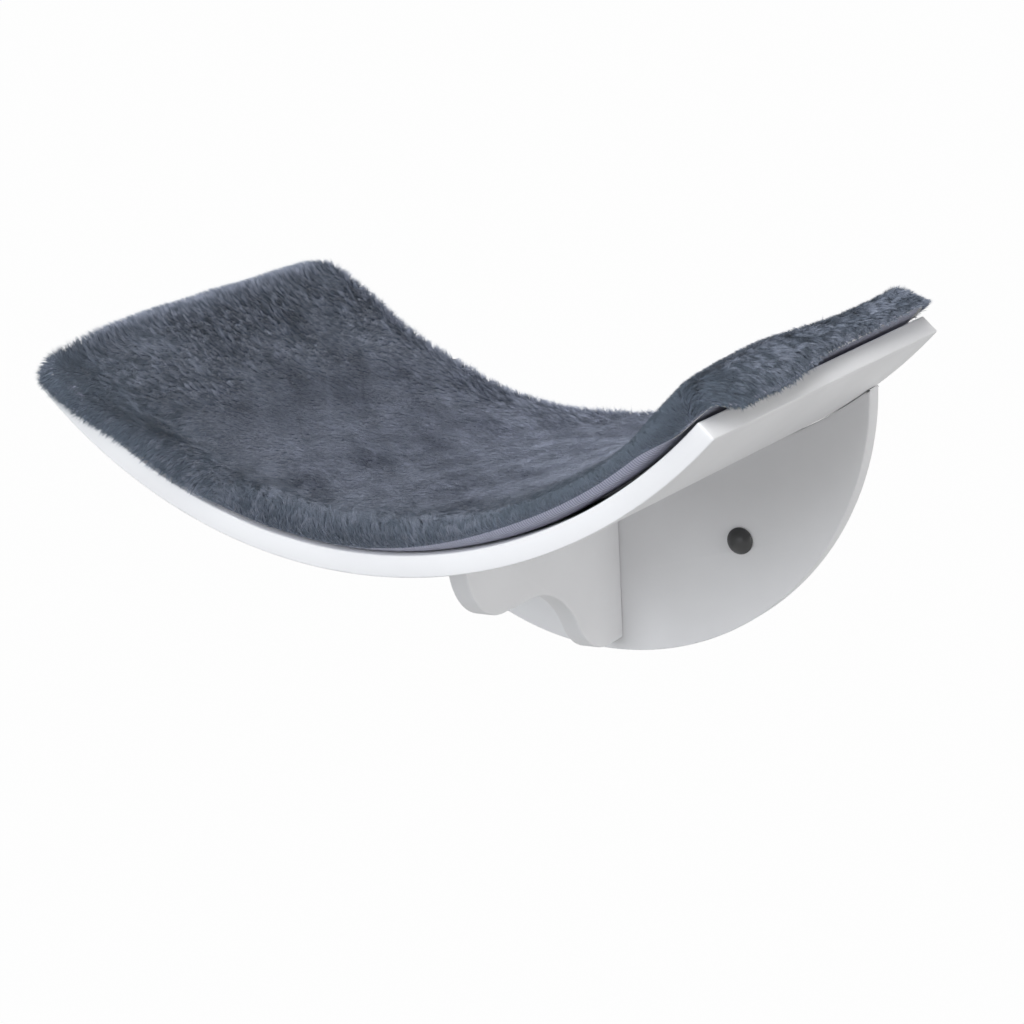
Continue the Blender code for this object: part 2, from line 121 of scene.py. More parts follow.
# %% Shader maths
class Signal:
    """One number that varies over a surface. Sums on it add Math nodes."""

    def __init__(self, nodes, socket):
        self.nodes = nodes
        self.socket = socket

    def math(self, operation, *others):
        """This signal and the others, put through one Math node."""
        sockets = dict(enumerate((self, *others)))
        node = self.nodes.add("ShaderNodeMath", {"operation": operation}, sockets)
        return Signal(self.nodes, node.outputs[0])

    def __add__(self, other):
        return self.math("ADD", other)

    def __mul__(self, other):
        return self.math("MULTIPLY", other)

    __radd__ = __add__
    __rmul__ = __mul__

    def between(self, low, high):
        """0 below low, 1 above high and a smooth step in between."""
        sockets = {"Value": self, "From Min": low, "From Max": high}
        node = self.nodes.add("ShaderNodeMapRange", {"interpolation_type": "SMOOTHSTEP"}, sockets)
        return Signal(self.nodes, node.outputs["Result"])


class Nodes:
    """A node tree, with short ways to add nodes and to feed their sockets."""

    def __init__(self, tree):
        self.tree = tree

    def add(self, kind, settings=None, sockets=None):
        """Adds a node. Its settings are set first, because they decide which sockets it has."""
        node = self.tree.nodes.new(kind)
        for name, value in (settings or {}).items():
            setattr(node, name, value)
        for name, value in (sockets or {}).items():
            self.feed(node.inputs[name], value)
        return node

    def feed(self, socket, value):
        """Links a signal or a socket to this socket, or gives it a plain value."""
        source = value.socket if isinstance(value, Signal) else value
        if isinstance(source, bpy.types.NodeSocket):
            self.tree.links.new(source, socket)
        elif hasattr(source, "__len__") and len(source) == 3 and len(socket.default_value) == 4:
            socket.default_value = (*source, 1)
        else:
            socket.default_value = source


class Finish(Nodes):
    """A material, with short ways to say what its surface shows."""

    def __init__(self, name, roughness):
        self.material = bpy.data.materials.new(name)
        self.material.use_nodes = True
        super().__init__(self.material.node_tree)
        self.shader = self.tree.nodes["Principled BSDF"]
        self.set("Roughness", roughness)

    def set(self, name, value):
        self.feed(self.shader.inputs[name], value)

    def noise(self, size, detail):
        """Soft noise whose lumps are about this size, from 0 to 1 with a middle of 0.5."""
        place = self.add("ShaderNodeTexCoord").outputs["Object"]
        sockets = {"Vector": place, "Scale": 1 / size, "Detail": detail}
        return Signal(self, self.add("ShaderNodeTexNoise", None, sockets).outputs[0])

    def map_axes(self, map_name):
        """The two numbers that the piece's own map gives to a point."""
        place = self.add("ShaderNodeUVMap", {"uv_map": map_name}).outputs[0]
        axes = self.add("ShaderNodeSeparateXYZ", None, {0: place}).outputs
        return Signal(self, axes["X"]), Signal(self, axes["Y"])

    def blend(self, share, first, second):
        """A colour on the way from the first to the second."""
        node = self.add("ShaderNodeMix", {"data_type": "RGBA"}, {"Factor": share})
        colours = [socket for socket in node.inputs if socket.type == "RGBA"]
        self.feed(colours[0], first)
        self.feed(colours[1], second)
        return next(socket for socket in node.outputs if socket.type == "RGBA")

    def mottle(self, dark, light, size, detail):
        """Lets the colour drift between two shades, in patches of about this size."""
        self.set("Base Color", self.blend(self.noise(size, detail), dark, light))

    def vary_roughness(self, least, most, pattern):
        self.set("Roughness", least + (most - least) * pattern)

    def relief(self, height, depth, strength):
        """Raises the surface by this height, which runs from 0 to 1, times this depth."""
        node = self.add("ShaderNodeBump", None, {"Height": height, "Distance": depth, "Strength": strength})
        self.set("Normal", node.outputs[0])

    def grain(self, size, detail, depth, strength):
        """A fine relief of bumps of about this size."""
        self.relief(self.noise(size, detail), depth, strength)


# %% [markdown]
# ## Small helpers for modelling
#
# Each piece below starts as a primitive and is shaped in edit mode. An operator works on all that is
# selected, so these helpers pick pieces, and select faces, edges or corners by where they are. The last one
# finishes a piece: its place goes into its mesh, it takes its material, and it is told which part of the bed
# it moves with.

# %% Helpers for modelling
WELD = 0.00001
SHARP_ANGLE = radians(30)
EDGE_SEGMENTS = 3


def pick(*pieces):
    """Selects these pieces and nothing else. The first one becomes the active one."""
    bpy.ops.object.select_all(action="DESELECT")
    for piece in pieces:
        piece.select_set(True)
    bpy.context.view_layer.objects.active = pieces[0]


def apply_place():
    bpy.ops.object.transform_apply(location=True, rotation=True, scale=True)


def discard(piece):
    bpy.data.objects.remove(piece, do_unlink=True)


def edit():
    """Starts to edit the active piece, with all of it selected."""
    bpy.ops.object.mode_set(mode="EDIT")
    bpy.ops.mesh.select_all(action="SELECT")


def leave_edit():
    bpy.ops.object.mode_set(mode="OBJECT")


def select_in(kind, test):
    """In edit mode, selects only the faces, edges or verts that pass the test."""
    mode = {"faces": "FACE", "edges": "EDGE", "verts": "VERT"}[kind]
    bpy.ops.mesh.select_mode(type=mode)
    bpy.ops.mesh.select_all(action="DESELECT")
    mesh = bpy.context.object.data
    shape = bmesh.from_edit_mesh(mesh)
    for item in getattr(shape, kind):
        if test(item):
            item.select_set(True)
    shape.select_flush_mode()
    bmesh.update_edit_mesh(mesh)


def extrude(move):
    bpy.ops.mesh.extrude_region_move(TRANSFORM_OT_translate={"value": move})


def draw_in(scale):
    """Makes the selected ring this much smaller."""
    bpy.ops.transform.resize(value=(scale, scale, 1))


def close_up():
    """In edit mode, merges doubles and turns all faces outwards."""
    bpy.ops.mesh.select_all(action="SELECT")
    bpy.ops.mesh.remove_doubles(threshold=WELD)
    bpy.ops.mesh.normals_make_consistent(inside=False)


def add_modifier(piece, kind, **settings):
    """Adds a modifier and applies it."""
    pick(piece)
    modifier = piece.modifiers.new(kind.lower(), kind)
    for name, value in settings.items():
        setattr(modifier, name, value)
    bpy.ops.object.modifier_apply(modifier=modifier.name)


def ease_edges(piece, width, segments=EDGE_SEGMENTS):
    settings = {"limit_method": "ANGLE", "angle_limit": SHARP_ANGLE}
    add_modifier(piece, "BEVEL", width=width, segments=segments, **settings)


def cut_away(piece, cutter):
    add_modifier(piece, "BOOLEAN", operation="DIFFERENCE", object=cutter)
    discard(cutter)


def smooth(piece):
    pick(piece)
    bpy.ops.object.shade_smooth_by_angle(angle=SHARP_ANGLE)


def copy_of(piece, name):
    twin = piece.copy()
    twin.data = piece.data.copy()
    twin.name = twin.data.name = name
    bpy.context.scene.collection.objects.link(twin)
    return twin


def settle(piece, name, finish, body, nodes=()):
    """Finishes a piece: place in its mesh, name, material, and what it moves with and stands for."""
    pick(piece)
    apply_place()
    piece.name = piece.data.name = name
    piece.data.materials.clear()
    piece.data.materials.append(finish.material)
    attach(piece, body)
    if nodes:
        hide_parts(*nodes)
    print(name, len(piece.data.polygons), "faces")


# %% [markdown]
# ## White painted board
#
# The three boards are sprayed with a satin white paint that is faintly lavender where it faces the light. Up
# close such paint has a fine orange-peel surface, and its sheen varies a little. Both come from noise: a fine
# one for the relief, and a broad one for the sheen and for the slight unevenness of the white.

# %% White painted board
PAINT_WHITE = (0.83, 0.83, 0.84)
PAINT_SHADE = (0.80, 0.80, 0.81)

white_paint = Finish("white_paint", roughness=0.42)
patches = white_paint.noise(size=0.06, detail=3)
shade_share = patches.between(0.35, 0.7)
white_paint.set("Base Color", white_paint.blend(shade_share, PAINT_WHITE, PAINT_SHADE))
white_paint.vary_roughness(least=0.36, most=0.50, pattern=patches)
white_paint.grain(size=0.0016, detail=1, depth=0.00002, strength=0.5)

# %% [markdown]
# ## The bent shelf
#
# The real shelf is plywood pressed in a mould. Its section is a plain rectangle, so it could be a thick plane
# bent by a modifier, but a spin gives an exact arc: the rectangle at one tip is swept round the arc's centre.
# It is a grid with many rows, so that a screw hole cut later disturbs the smooth shading only close by.

# %% The bent shelf
SHELF_WIDTH = 0.410
SHELF_DEPTH = 0.280
SHELF_RADIUS = 0.282
SHELF_THICKNESS = 0.012
SHELF_STEPS = 144
SHELF_ROWS = 40
BOARD_EDGE_ROUND = 0.0010

UNDERSIDE_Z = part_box("seat_shelf")[0].z
ARC_CENTRE = Vector((0, -SHELF_DEPTH / 2, UNDERSIDE_Z + SHELF_RADIUS))
TOP_RADIUS = SHELF_RADIUS - SHELF_THICKNESS
SHELF_HALF_ANGLE = asin(SHELF_WIDTH / 2 / SHELF_RADIUS)

middle_radius = SHELF_RADIUS - SHELF_THICKNESS / 2
left_tip = ARC_CENTRE - middle_radius * Vector((sin(SHELF_HALF_ANGLE), 0, cos(SHELF_HALF_ANGLE)))
bpy.ops.mesh.primitive_grid_add(
    x_subdivisions=1, y_subdivisions=SHELF_ROWS, size=1,
    location=left_tip, rotation=(0, SHELF_HALF_ANGLE - pi / 2, 0),
)
shelf = bpy.context.object
shelf.scale = (SHELF_THICKNESS, SHELF_DEPTH, 1)
apply_place()
edit()
bpy.ops.mesh.spin(steps=SHELF_STEPS, angle=2 * SHELF_HALF_ANGLE, center=ARC_CENTRE, axis=(0, 1, 0))
close_up()
leave_edit()
ease_edges(shelf, BOARD_EDGE_ROUND)
smooth(shelf)
settle(shelf, "bent_shelf", white_paint, "bed_frame", ["seat_shelf"])

# %% [markdown]
# ## The wall plate
#
# The plate is half a disc whose top is cut to the shelf's underside. That is how it is modelled too: a flat
# cylinder, less a larger cylinder that has the shelf's outer radius. The two wall-screw holes are bored while
# the plate's faces are still plain, because a Boolean can go wrong on a face whose outline ends in two thin
# tips with rounded edges. A bevel of the rim's edges alone then leaves the holes as sharp as a drill does.

# %% The wall plate
PLATE_RADIUS = 0.1686
PLATE_THICKNESS = 0.012
PLATE_STEPS = 256
HOLE_STEPS = 48
FIT_GAP = 0.0003
WALL_HOLE_SPACING = 0.170
WALL_HOLE_RADIUS = 0.0026
COUNTERBORE_RADIUS = 0.0052
COUNTERBORE_DEPTH = 0.0068
OVERRUN = 0.002

plate_low, plate_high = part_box("wall_plate")
plate_y = (plate_low.y + plate_high.y) / 2
FACING_ROOM = (pi / 2, 0, 0)


def add_cylinder(radius, depth, place, steps=HOLE_STEPS):
    """A cylinder whose axis runs from the room to the wall."""
    bpy.ops.mesh.primitive_cylinder_add(
        vertices=steps, radius=radius, depth=depth, location=place, rotation=FACING_ROOM
    )
    return bpy.context.object


def on_rim(edge):
    """True for an edge round the plate's outline, and not for one of a hole."""
    if not edge.is_manifold or edge.calc_face_angle() < SHARP_ANGLE:
        return False
    ends = (vertex.co for vertex in edge.verts)
    return all(hypot(abs(end.x) - WALL_HOLE_SPACING / 2, end.z) > 2 * COUNTERBORE_RADIUS for end in ends)


plate_middle = (0, plate_y, plate_low.z + PLATE_RADIUS)
plate = add_cylinder(PLATE_RADIUS, PLATE_THICKNESS, plate_middle, PLATE_STEPS)
arc_middle = (0, plate_y, ARC_CENTRE.z)
cut_away(plate, add_cylinder(SHELF_RADIUS + FIT_GAP, PLATE_THICKNESS + OVERRUN, arc_middle, 2 * PLATE_STEPS))
for hole_x in (-WALL_HOLE_SPACING / 2, WALL_HOLE_SPACING / 2):
    cut_away(plate, add_cylinder(WALL_HOLE_RADIUS, 2 * PLATE_THICKNESS, (hole_x, plate_y, 0)))
    cut_away(plate, add_cylinder(COUNTERBORE_RADIUS, 2 * COUNTERBORE_DEPTH, (hole_x, plate_low.y, 0)))
pick(plate)
apply_place()
edit()
select_in("edges", on_rim)
bpy.ops.mesh.bevel(offset=BOARD_EDGE_ROUND, segments=EDGE_SEGMENTS, affect="EDGES")
leave_edit()
smooth(plate)
settle(plate, "half_round_plate", white_paint, "bed_frame", ["wall_plate"])

# %% [markdown]
# ## The support rib
#
# The rib's outline is drawn as a joiner would mark it out: straight runs and arcs, one after the other,
# starting at the top against the plate. A single corner is extruded for each straight run and spun for each
# arc. The closed outline is then filled and extruded to the board's thickness.

# %% The support rib
RIB_THICKNESS = 0.012
RIB_NOSE_HEIGHT = 0.054
RIB_NOSE_RADIUS = 0.040
RIB_OGEE_LENGTH = 0.090
RIB_OGEE_UPPER_SHARE = 0.62
RIB_HEEL_FLAT = 0.018
RIB_ARC_STEPS = 24

rib_low, rib_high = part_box("support_rib")
rib_x = -RIB_THICKNESS / 2
flat_z = UNDERSIDE_Z - RIB_NOSE_HEIGHT
heel_y = rib_high.y - RIB_HEEL_FLAT
ogee_y = heel_y - RIB_OGEE_LENGTH
nose_y = rib_low.y + RIB_NOSE_RADIUS
ogee_bend = 2 * atan((flat_z - rib_low.z) / RIB_OGEE_LENGTH)
ogee_radii = RIB_OGEE_LENGTH / sin(ogee_bend)
upper_radius = ogee_radii * RIB_OGEE_UPPER_SHARE
lower_radius = ogee_radii - upper_radius


def arc(centre_y, centre_z, angle):
    """Spins the last corner of the outline about a point of the rib's side."""
    bpy.ops.mesh.spin(steps=RIB_ARC_STEPS, angle=angle, center=(rib_x, centre_y, centre_z), axis=(1, 0, 0))


bpy.ops.mesh.primitive_plane_add(size=BOARD_EDGE_ROUND, location=(rib_x, rib_high.y, rib_high.z))
rib = bpy.context.object
apply_place()
edit()
bpy.ops.mesh.select_mode(type="VERT")
bpy.ops.mesh.merge(type="CENTER")
extrude((0, 0, rib_low.z - rib_high.z))
extrude((0, -RIB_HEEL_FLAT, 0))
arc(heel_y, rib_low.z + lower_radius, ogee_bend)
arc(ogee_y, flat_z - upper_radius, -ogee_bend)
extrude((0, nose_y - ogee_y, 0))
arc(nose_y, flat_z + RIB_NOSE_RADIUS, pi / 2)
extrude((0, 0, rib_high.z - flat_z - RIB_NOSE_RADIUS))
bpy.ops.mesh.select_all(action="SELECT")
bpy.ops.mesh.remove_doubles(threshold=WELD)
bpy.ops.mesh.edge_face_add()
extrude((RIB_THICKNESS, 0, 0))
close_up()
leave_edit()
ease_edges(rib, BOARD_EDGE_ROUND)
smooth(rib)
settle(rib, "shaped_rib", white_paint, "bed_frame", ["support_rib"])

# %% [markdown]
# ## Screw caps
#
# A black plastic cap plugs each wall-screw hole. One cap is modelled from a disc: its rim is extruded, rings
# are extruded and drawn in to make the dome, and the back is inset twice and pushed in and out to make a
# hollow stem. The other cap is a copy of it.

# %% Screw caps
CAP_RADIUS = 0.0080
CAP_HEIGHT = 0.0048
CAP_RIM_HEIGHT = 0.0010
CAP_STEM_RADIUS = 0.0049
CAP_STEM_LENGTH = 0.0024
CAP_WALL = 0.0012
DOME_RINGS = 10
PLASTIC_BLACK = (0.035, 0.035, 0.036)

black_plastic = Finish("black_plastic", roughness=0.3)
black_plastic.set("Base Color", PLASTIC_BLACK)
black_plastic.vary_roughness(least=0.28, most=0.40, pattern=black_plastic.noise(size=0.004, detail=2))
black_plastic.grain(size=0.0007, detail=1, depth=0.00001, strength=0.3)


def add_disc(radius, steps):
    """Adds a flat disc at the origin and starts to edit it."""
    bpy.ops.mesh.primitive_circle_add(vertices=steps, radius=radius, fill_type="NGON")
    edit()
    return bpy.context.object


dome_rise = CAP_HEIGHT - CAP_RIM_HEIGHT
ball_radius = (CAP_RADIUS ** 2 + dome_rise ** 2) / (2 * dome_rise)
dome_angle = asin(CAP_RADIUS / ball_radius)
cap = add_disc(CAP_RADIUS, HOLE_STEPS)
extrude((0, 0, CAP_RIM_HEIGHT))
for ring in range(1, DOME_RINGS):
    turn, turn_before = (dome_angle * (1 - step / DOME_RINGS) for step in (ring, ring - 1))
    extrude((0, 0, ball_radius * (cos(turn) - cos(turn_before))))
    draw_in(sin(turn) / sin(turn_before))
select_in("faces", lambda face: max(vertex.co.z for vertex in face.verts) < WELD)
bpy.ops.mesh.inset(thickness=CAP_RADIUS - CAP_STEM_RADIUS)
extrude((0, 0, -CAP_STEM_LENGTH))
bpy.ops.mesh.inset(thickness=CAP_WALL)
extrude((0, 0, CAP_STEM_LENGTH + CAP_WALL))
close_up()
leave_edit()
ease_edges(cap, CAP_WALL / 6, segments=2)
smooth(cap)
cap.rotation_euler = FACING_ROOM
for side, hole_x in (("left", -WALL_HOLE_SPACING / 2), ("right", WALL_HOLE_SPACING / 2)):
    twin = copy_of(cap, f"{side}_cap")
    twin.location = (hole_x, plate_low.y - FIT_GAP, 0)
    settle(twin, f"{side}_cap", black_plastic, f"{side}_cap", [f"screw_cap_{side}"])
discard(cap)

# %% [markdown]
# ## Wood screws
#
# Eight countersunk screws join the boards. Only their heads can be seen, and only once the cushion is lifted
# off or the bed is taken down. One screw is extruded from a disc, and a cross is cut into its head.

# %% One wood screw
SCREW_LENGTH = 0.040
SCREW_RADIUS = 0.0018
SCREW_HEAD_RADIUS = 0.0038
SCREW_HEAD_HEIGHT = 0.0022
SCREW_TIP_LENGTH = 0.0045
SCREW_TIP_RADIUS = 0.0005
RECESS_LENGTH = 0.0042
RECESS_WIDTH = 0.0011
RECESS_DEPTH = 0.0016
SCREW_STEPS = 32
ZINC_GREY = (0.62, 0.62, 0.6)

zinc = Finish("zinc", roughness=0.35)
zinc.set("Base Color", ZINC_GREY)
zinc.set("Metallic", 1.0)
zinc.vary_roughness(least=0.28, most=0.48, pattern=zinc.noise(size=0.0008, detail=2))

screw = add_disc(SCREW_HEAD_RADIUS, SCREW_STEPS)
radius_now = SCREW_HEAD_RADIUS
for drop, radius in (
    (SCREW_HEAD_HEIGHT, SCREW_RADIUS),
    (SCREW_LENGTH - SCREW_HEAD_HEIGHT - SCREW_TIP_LENGTH, SCREW_RADIUS),
    (SCREW_TIP_LENGTH, SCREW_TIP_RADIUS),
):
    extrude((0, 0, -drop))
    draw_in(radius / radius_now)
    radius_now = radius
close_up()
leave_edit()
for size in ((RECESS_LENGTH, RECESS_WIDTH), (RECESS_WIDTH, RECESS_LENGTH)):
    bpy.ops.mesh.primitive_cube_add(size=1, scale=(*size, 2 * RECESS_DEPTH))
    cut_away(screw, bpy.context.object)
smooth(screw)

# %% [markdown]
# ## Setting the screws
#
# The screw is copied to its eight places: four through the shelf into the plate, two through the shelf into
# the rib, and two through the plate's back into the rib. A slightly wider cone cuts each head's seat.

# %% Setting the screws
SCREW_HEAD_SINK = 0.0004
SCREW_HEAD_GAP = 0.0001
SHELF_SCREW_X = (-0.120, -0.050, 0.050, 0.120)
RIB_SCREW_Y = {"rib_screw_back": -0.060, "rib_screw_front": -0.150}
PLATE_SCREW_DROP = {"plate_screw_upper": 0.022, "plate_screw_lower": 0.082}

seat_radius = SCREW_HEAD_RADIUS + SCREW_HEAD_GAP
countersink = add_disc(seat_radius, SCREW_STEPS)
bpy.ops.transform.translate(value=(0, 0, OVERRUN))
extrude((0, 0, -OVERRUN))
extrude((0, 0, -SCREW_HEAD_HEIGHT))
draw_in(SCREW_RADIUS / seat_radius)
close_up()
leave_edit()

head_radius = TOP_RADIUS + SCREW_HEAD_SINK
screw_places = {}
for number, screw_x in enumerate(SHELF_SCREW_X, 1):
    turn = asin(screw_x / SHELF_RADIUS)
    spot = Vector((head_radius * sin(turn), plate_y, ARC_CENTRE.z - head_radius * cos(turn)))
    screw_places[f"shelf_screw_{number}"] = Matrix.Translation(spot) @ Matrix.Rotation(-turn, 4, "Y")
for node, screw_y in RIB_SCREW_Y.items():
    screw_places[node] = Matrix.Translation((0, screw_y, ARC_CENTRE.z - head_radius))
for node, drop in PLATE_SCREW_DROP.items():
    spot = Vector((0, -SCREW_HEAD_SINK, UNDERSIDE_Z - drop))
    screw_places[node] = Matrix.Translation(spot) @ Matrix.Rotation(-pi / 2, 4, "X")
for node, matrix in screw_places.items():
    twin = copy_of(screw, "wood_" + node)
    twin.matrix_world = matrix
    settle(twin, "wood_" + node, zinc, "bed_frame", [node])
    cutter = copy_of(countersink, "cutter")
    cutter.matrix_world = matrix
    cut_away(plate if node in PLATE_SCREW_DROP else shelf, cutter)
for piece in (shelf, plate):
    smooth(piece)
for piece in (screw, countersink):
    discard(piece)
print("countersunk:", len(shelf.data.polygons), "shelf faces,", len(plate.data.polygons), "plate faces")

# %% [markdown]
# ## Working flat, then bending
#
# The cushion and its tapes follow the shelf's curve. They are much easier to make flat: x is then the
# distance along the shelf's top, y the depth and z the height above it. When a piece is done, its corners are
# moved to where the bent shelf puts them.

# %% Working flat, then bending
SHELF_HALF_ARC = TOP_RADIUS * SHELF_HALF_ANGLE


def corners_of(piece):
    places = np.empty(len(piece.data.vertices) * 3)
    piece.data.vertices.foreach_get("co", places)
    return places.reshape(-1, 3)


def put_corners(piece, places):
    piece.data.vertices.foreach_set("co", np.ascontiguousarray(places).ravel())
    piece.data.update()


def on_shelf(flat):
    """Bends flat places on to the shelf."""
    turn = flat[:, 0] / TOP_RADIUS
    radius = TOP_RADIUS - flat[:, 2]
    return np.column_stack((radius * np.sin(turn), flat[:, 1], ARC_CENTRE.z - radius * np.cos(turn)))


def bend(piece):
    put_corners(piece, on_shelf(corners_of(piece)))


# %% [markdown]
# ## Hook and loop tapes
#
# Four hook strips are stuck to the shelf, and four loop strips are sewn under the cushion. A strip is a thin
# box with rounded corners, cut across many times so that it can bend. One bent hook is modelled from a cone
# and one loop from a thin torus, and two Array modifiers lay out rows of them.

# %% One strip of each tape
TAPE_LENGTH = 0.060
TAPE_WIDTH = 0.020
TAPE_THICKNESS = 0.0010
TAPE_BASE = 0.0004
TAPE_CORNER_SEGMENTS = 4
TAPE_PARTS = 12
HOOK_PITCH = 0.0022
HOOK_LOW = 0.0003
HOOK_TOP = HOOK_LOW + TAPE_THICKNESS
LOOP_HIGH = 0.0029 - FIT_GAP

tape_plastic = Finish("tape_plastic", roughness=0.55)
tape_plastic.mottle(dark=(0.62, 0.62, 0.62), light=(0.72, 0.72, 0.72), size=0.003, detail=2)
tape_plastic.grain(size=0.0005, detail=1, depth=0.00003, strength=0.5)
tape_nap = Finish("tape_nap", roughness=0.95)
tape_nap.mottle(dark=(0.45, 0.45, 0.47), light=(0.62, 0.62, 0.64), size=0.0012, detail=3)
tape_nap.grain(size=0.0004, detail=2, depth=0.0002, strength=0.7)


def add_strip(low, high):
    """A thin strip with rounded corners, still flat, centred on the origin."""
    size = (TAPE_LENGTH, TAPE_WIDTH, high - low)
    bpy.ops.mesh.primitive_cube_add(size=1, location=(0, 0, (low + high) / 2), scale=size)
    apply_place()
    edit()
    select_in("edges", lambda edge: abs(edge.verts[0].co.z - edge.verts[1].co.z) > WELD)
    bpy.ops.mesh.bevel(offset=TAPE_WIDTH / 6, segments=TAPE_CORNER_SEGMENTS, affect="EDGES")
    for part in range(1, TAPE_PARTS):
        bpy.ops.mesh.select_all(action="SELECT")
        cut_x = TAPE_LENGTH * (part / TAPE_PARTS - 0.5)
        bpy.ops.mesh.bisect(plane_co=(cut_x, 0, 0), plane_no=(1, 0, 0))
    leave_edit()
    return bpy.context.object


def add_rows(piece):
    """Repeats a hook or loop that lies at the origin all over the strip."""
    for axis, length in ((0, TAPE_LENGTH), (1, TAPE_WIDTH)):
        count = int(length / HOOK_PITCH) - 1
        step = [0.0, 0.0, 0.0]
        step[axis] = HOOK_PITCH
        settings = {"use_relative_offset": False, "use_constant_offset": True}
        add_modifier(piece, "ARRAY", count=count, constant_offset_displace=step, **settings)
        places = corners_of(piece)
        places[:, axis] -= (count - 1) * HOOK_PITCH / 2
        put_corners(piece, places)


hook_strip = add_strip(HOOK_LOW, HOOK_LOW + TAPE_BASE)
bpy.ops.mesh.primitive_cone_add(
    vertices=4, radius1=HOOK_PITCH / 8, radius2=HOOK_PITCH / 16, depth=TAPE_THICKNESS - TAPE_BASE,
    location=(0, 0, (HOOK_LOW + TAPE_BASE + HOOK_TOP) / 2),
)
hook = bpy.context.object
apply_place()
edit()
bpy.ops.mesh.bisect(plane_co=(0, 0, HOOK_TOP - TAPE_BASE / 2), plane_no=(0, 0, 1))
select_in("verts", lambda vertex: vertex.co.z > HOOK_TOP - WELD)
bpy.ops.transform.translate(value=(HOOK_PITCH / 4, 0, -TAPE_BASE / 4))
leave_edit()
add_rows(hook)

loop_strip = add_strip(LOOP_HIGH - TAPE_BASE, LOOP_HIGH)
bpy.ops.mesh.primitive_torus_add(
    major_segments=8, minor_segments=3, major_radius=HOOK_PITCH / 4, minor_radius=HOOK_PITCH / 14,
    rotation=(pi / 2, 0, 0), location=(0, 0, LOOP_HIGH - TAPE_BASE),
)
loop = bpy.context.object
apply_place()
add_rows(loop)
for strip, part in ((hook_strip, hook), (loop_strip, loop)):
    pick(strip, part)
    bpy.ops.object.join()

# %% [markdown]
# ## Laying out the tapes
#
# The strips lie near the shelf's four corners. Each one is moved there while it is flat, and bent afterwards.

# %% Laying out the tapes
TAPE_END_MARGIN = 0.026
TAPE_SIDE_MARGIN = 0.022

tape_x = SHELF_HALF_ARC - TAPE_END_MARGIN - TAPE_LENGTH / 2
tape_y = SHELF_DEPTH / 2 - TAPE_SIDE_MARGIN - TAPE_WIDTH / 2
for end, end_sign in (("left", -1), ("right", 1)):
    for row, row_sign in (("front", -1), ("back", 1)):
        for kind, strip, finish, body in (
            ("hook", hook_strip, tape_plastic, "bed_frame"),
            ("loop", loop_strip, tape_nap, "cushion"),
        ):
            twin = copy_of(strip, f"{kind}_strip_{row}_{end}")
            move = (end_sign * tape_x, ARC_CENTRE.y + row_sign * tape_y, 0)
            put_corners(twin, corners_of(twin) + move)
            bend(twin)
            smooth(twin)
            settle(twin, twin.name, finish, body, [f"{kind}_tape_{row}_{end}"])
for strip in (hook_strip, loop_strip):
    discard(strip)

# %% [markdown]
# ## The cushion's body
#
# The cushion is two cloths sewn together along a seam round its rim, with a thin pad of wadding between them.
# It is modelled flat, as one closed form: a grid is extruded once, and its corners are then moved in code.
# First they are spread to the cushion's size, with the outer rows gathered round its curved rim.

# %% The cushion's body
CUSHION_OVERHANG = 0.0086
CUSHION_HALF_LENGTH = SHELF_HALF_ARC + CUSHION_OVERHANG
CUSHION_FRONT_Y = -0.2818
CUSHION_BACK_Y = -0.0026
CUSHION_MIDDLE_Y = (CUSHION_FRONT_Y + CUSHION_BACK_Y) / 2
CUSHION_HALF_DEPTH = (CUSHION_BACK_Y - CUSHION_FRONT_Y) / 2
SKIN_ROUND = 0.0080
SKIN_ROUND_BACK = 0.0045
UNDER_ROUND = 0.0075
GRID_COLUMNS = 110
GRID_ROWS = 68
BAND_SHARE = 0.10


def spread(share, half, rim_round):
    """Where a share from -1 to 1 of the way across lies, and how far down the rounded rim that is."""
    start = 1 - BAND_SHARE
    away = np.abs(share)
    turn = np.clip((away - start) / BAND_SHARE, 0, 1) * pi / 2
    inner = half - rim_round
    place = np.where(away < start, inner * away / start, inner + rim_round * np.sin(turn))
    return np.sign(share) * place, 1 - np.cos(turn)


bpy.ops.mesh.primitive_grid_add(x_subdivisions=GRID_COLUMNS, y_subdivisions=GRID_ROWS, size=2)
pad = bpy.context.object
edit()
extrude((0, 0, 1))
close_up()
leave_edit()
for name in ("lower cloth", "upper cloth"):
    pad.data.materials.append(bpy.data.materials.new(name))
for face in pad.data.polygons:
    face.material_index = int(face.center.z > 0.25)

unit = corners_of(pad)
upper = unit[:, 2] > 0.5
forward = -unit[:, 1]
upper_round = np.where(forward < 0, SKIN_ROUND_BACK, SKIN_ROUND)
along, down_along = spread(unit[:, 0], CUSHION_HALF_LENGTH, np.where(upper, SKIN_ROUND, UNDER_ROUND))
across, down_across = spread(unit[:, 1], CUSHION_HALF_DEPTH, np.where(upper, upper_round, UNDER_ROUND))
dome_along, dome_across = 1 - unit[:, 0] ** 2, 1 - unit[:, 1] ** 2
print("cushion body:", len(pad.data.polygons), "faces")

# %% [markdown]
# ## Its crown and its seam
#
# The top is crowned and curls down to the seam, and the lower side curls up to it. No real cushion is even,
# and this one is fuller at its two ends, most of all at the right one, and along its back. Its front left
# corner sags. The seam climbs at the right of the front edge, where the knit below it can be seen. It sinks
# at the right end and at the front left corner, where the plush hangs over the shelf.
#
# Each of these forms is a height times one or two smooth steps, which say where on the cushion it lies.

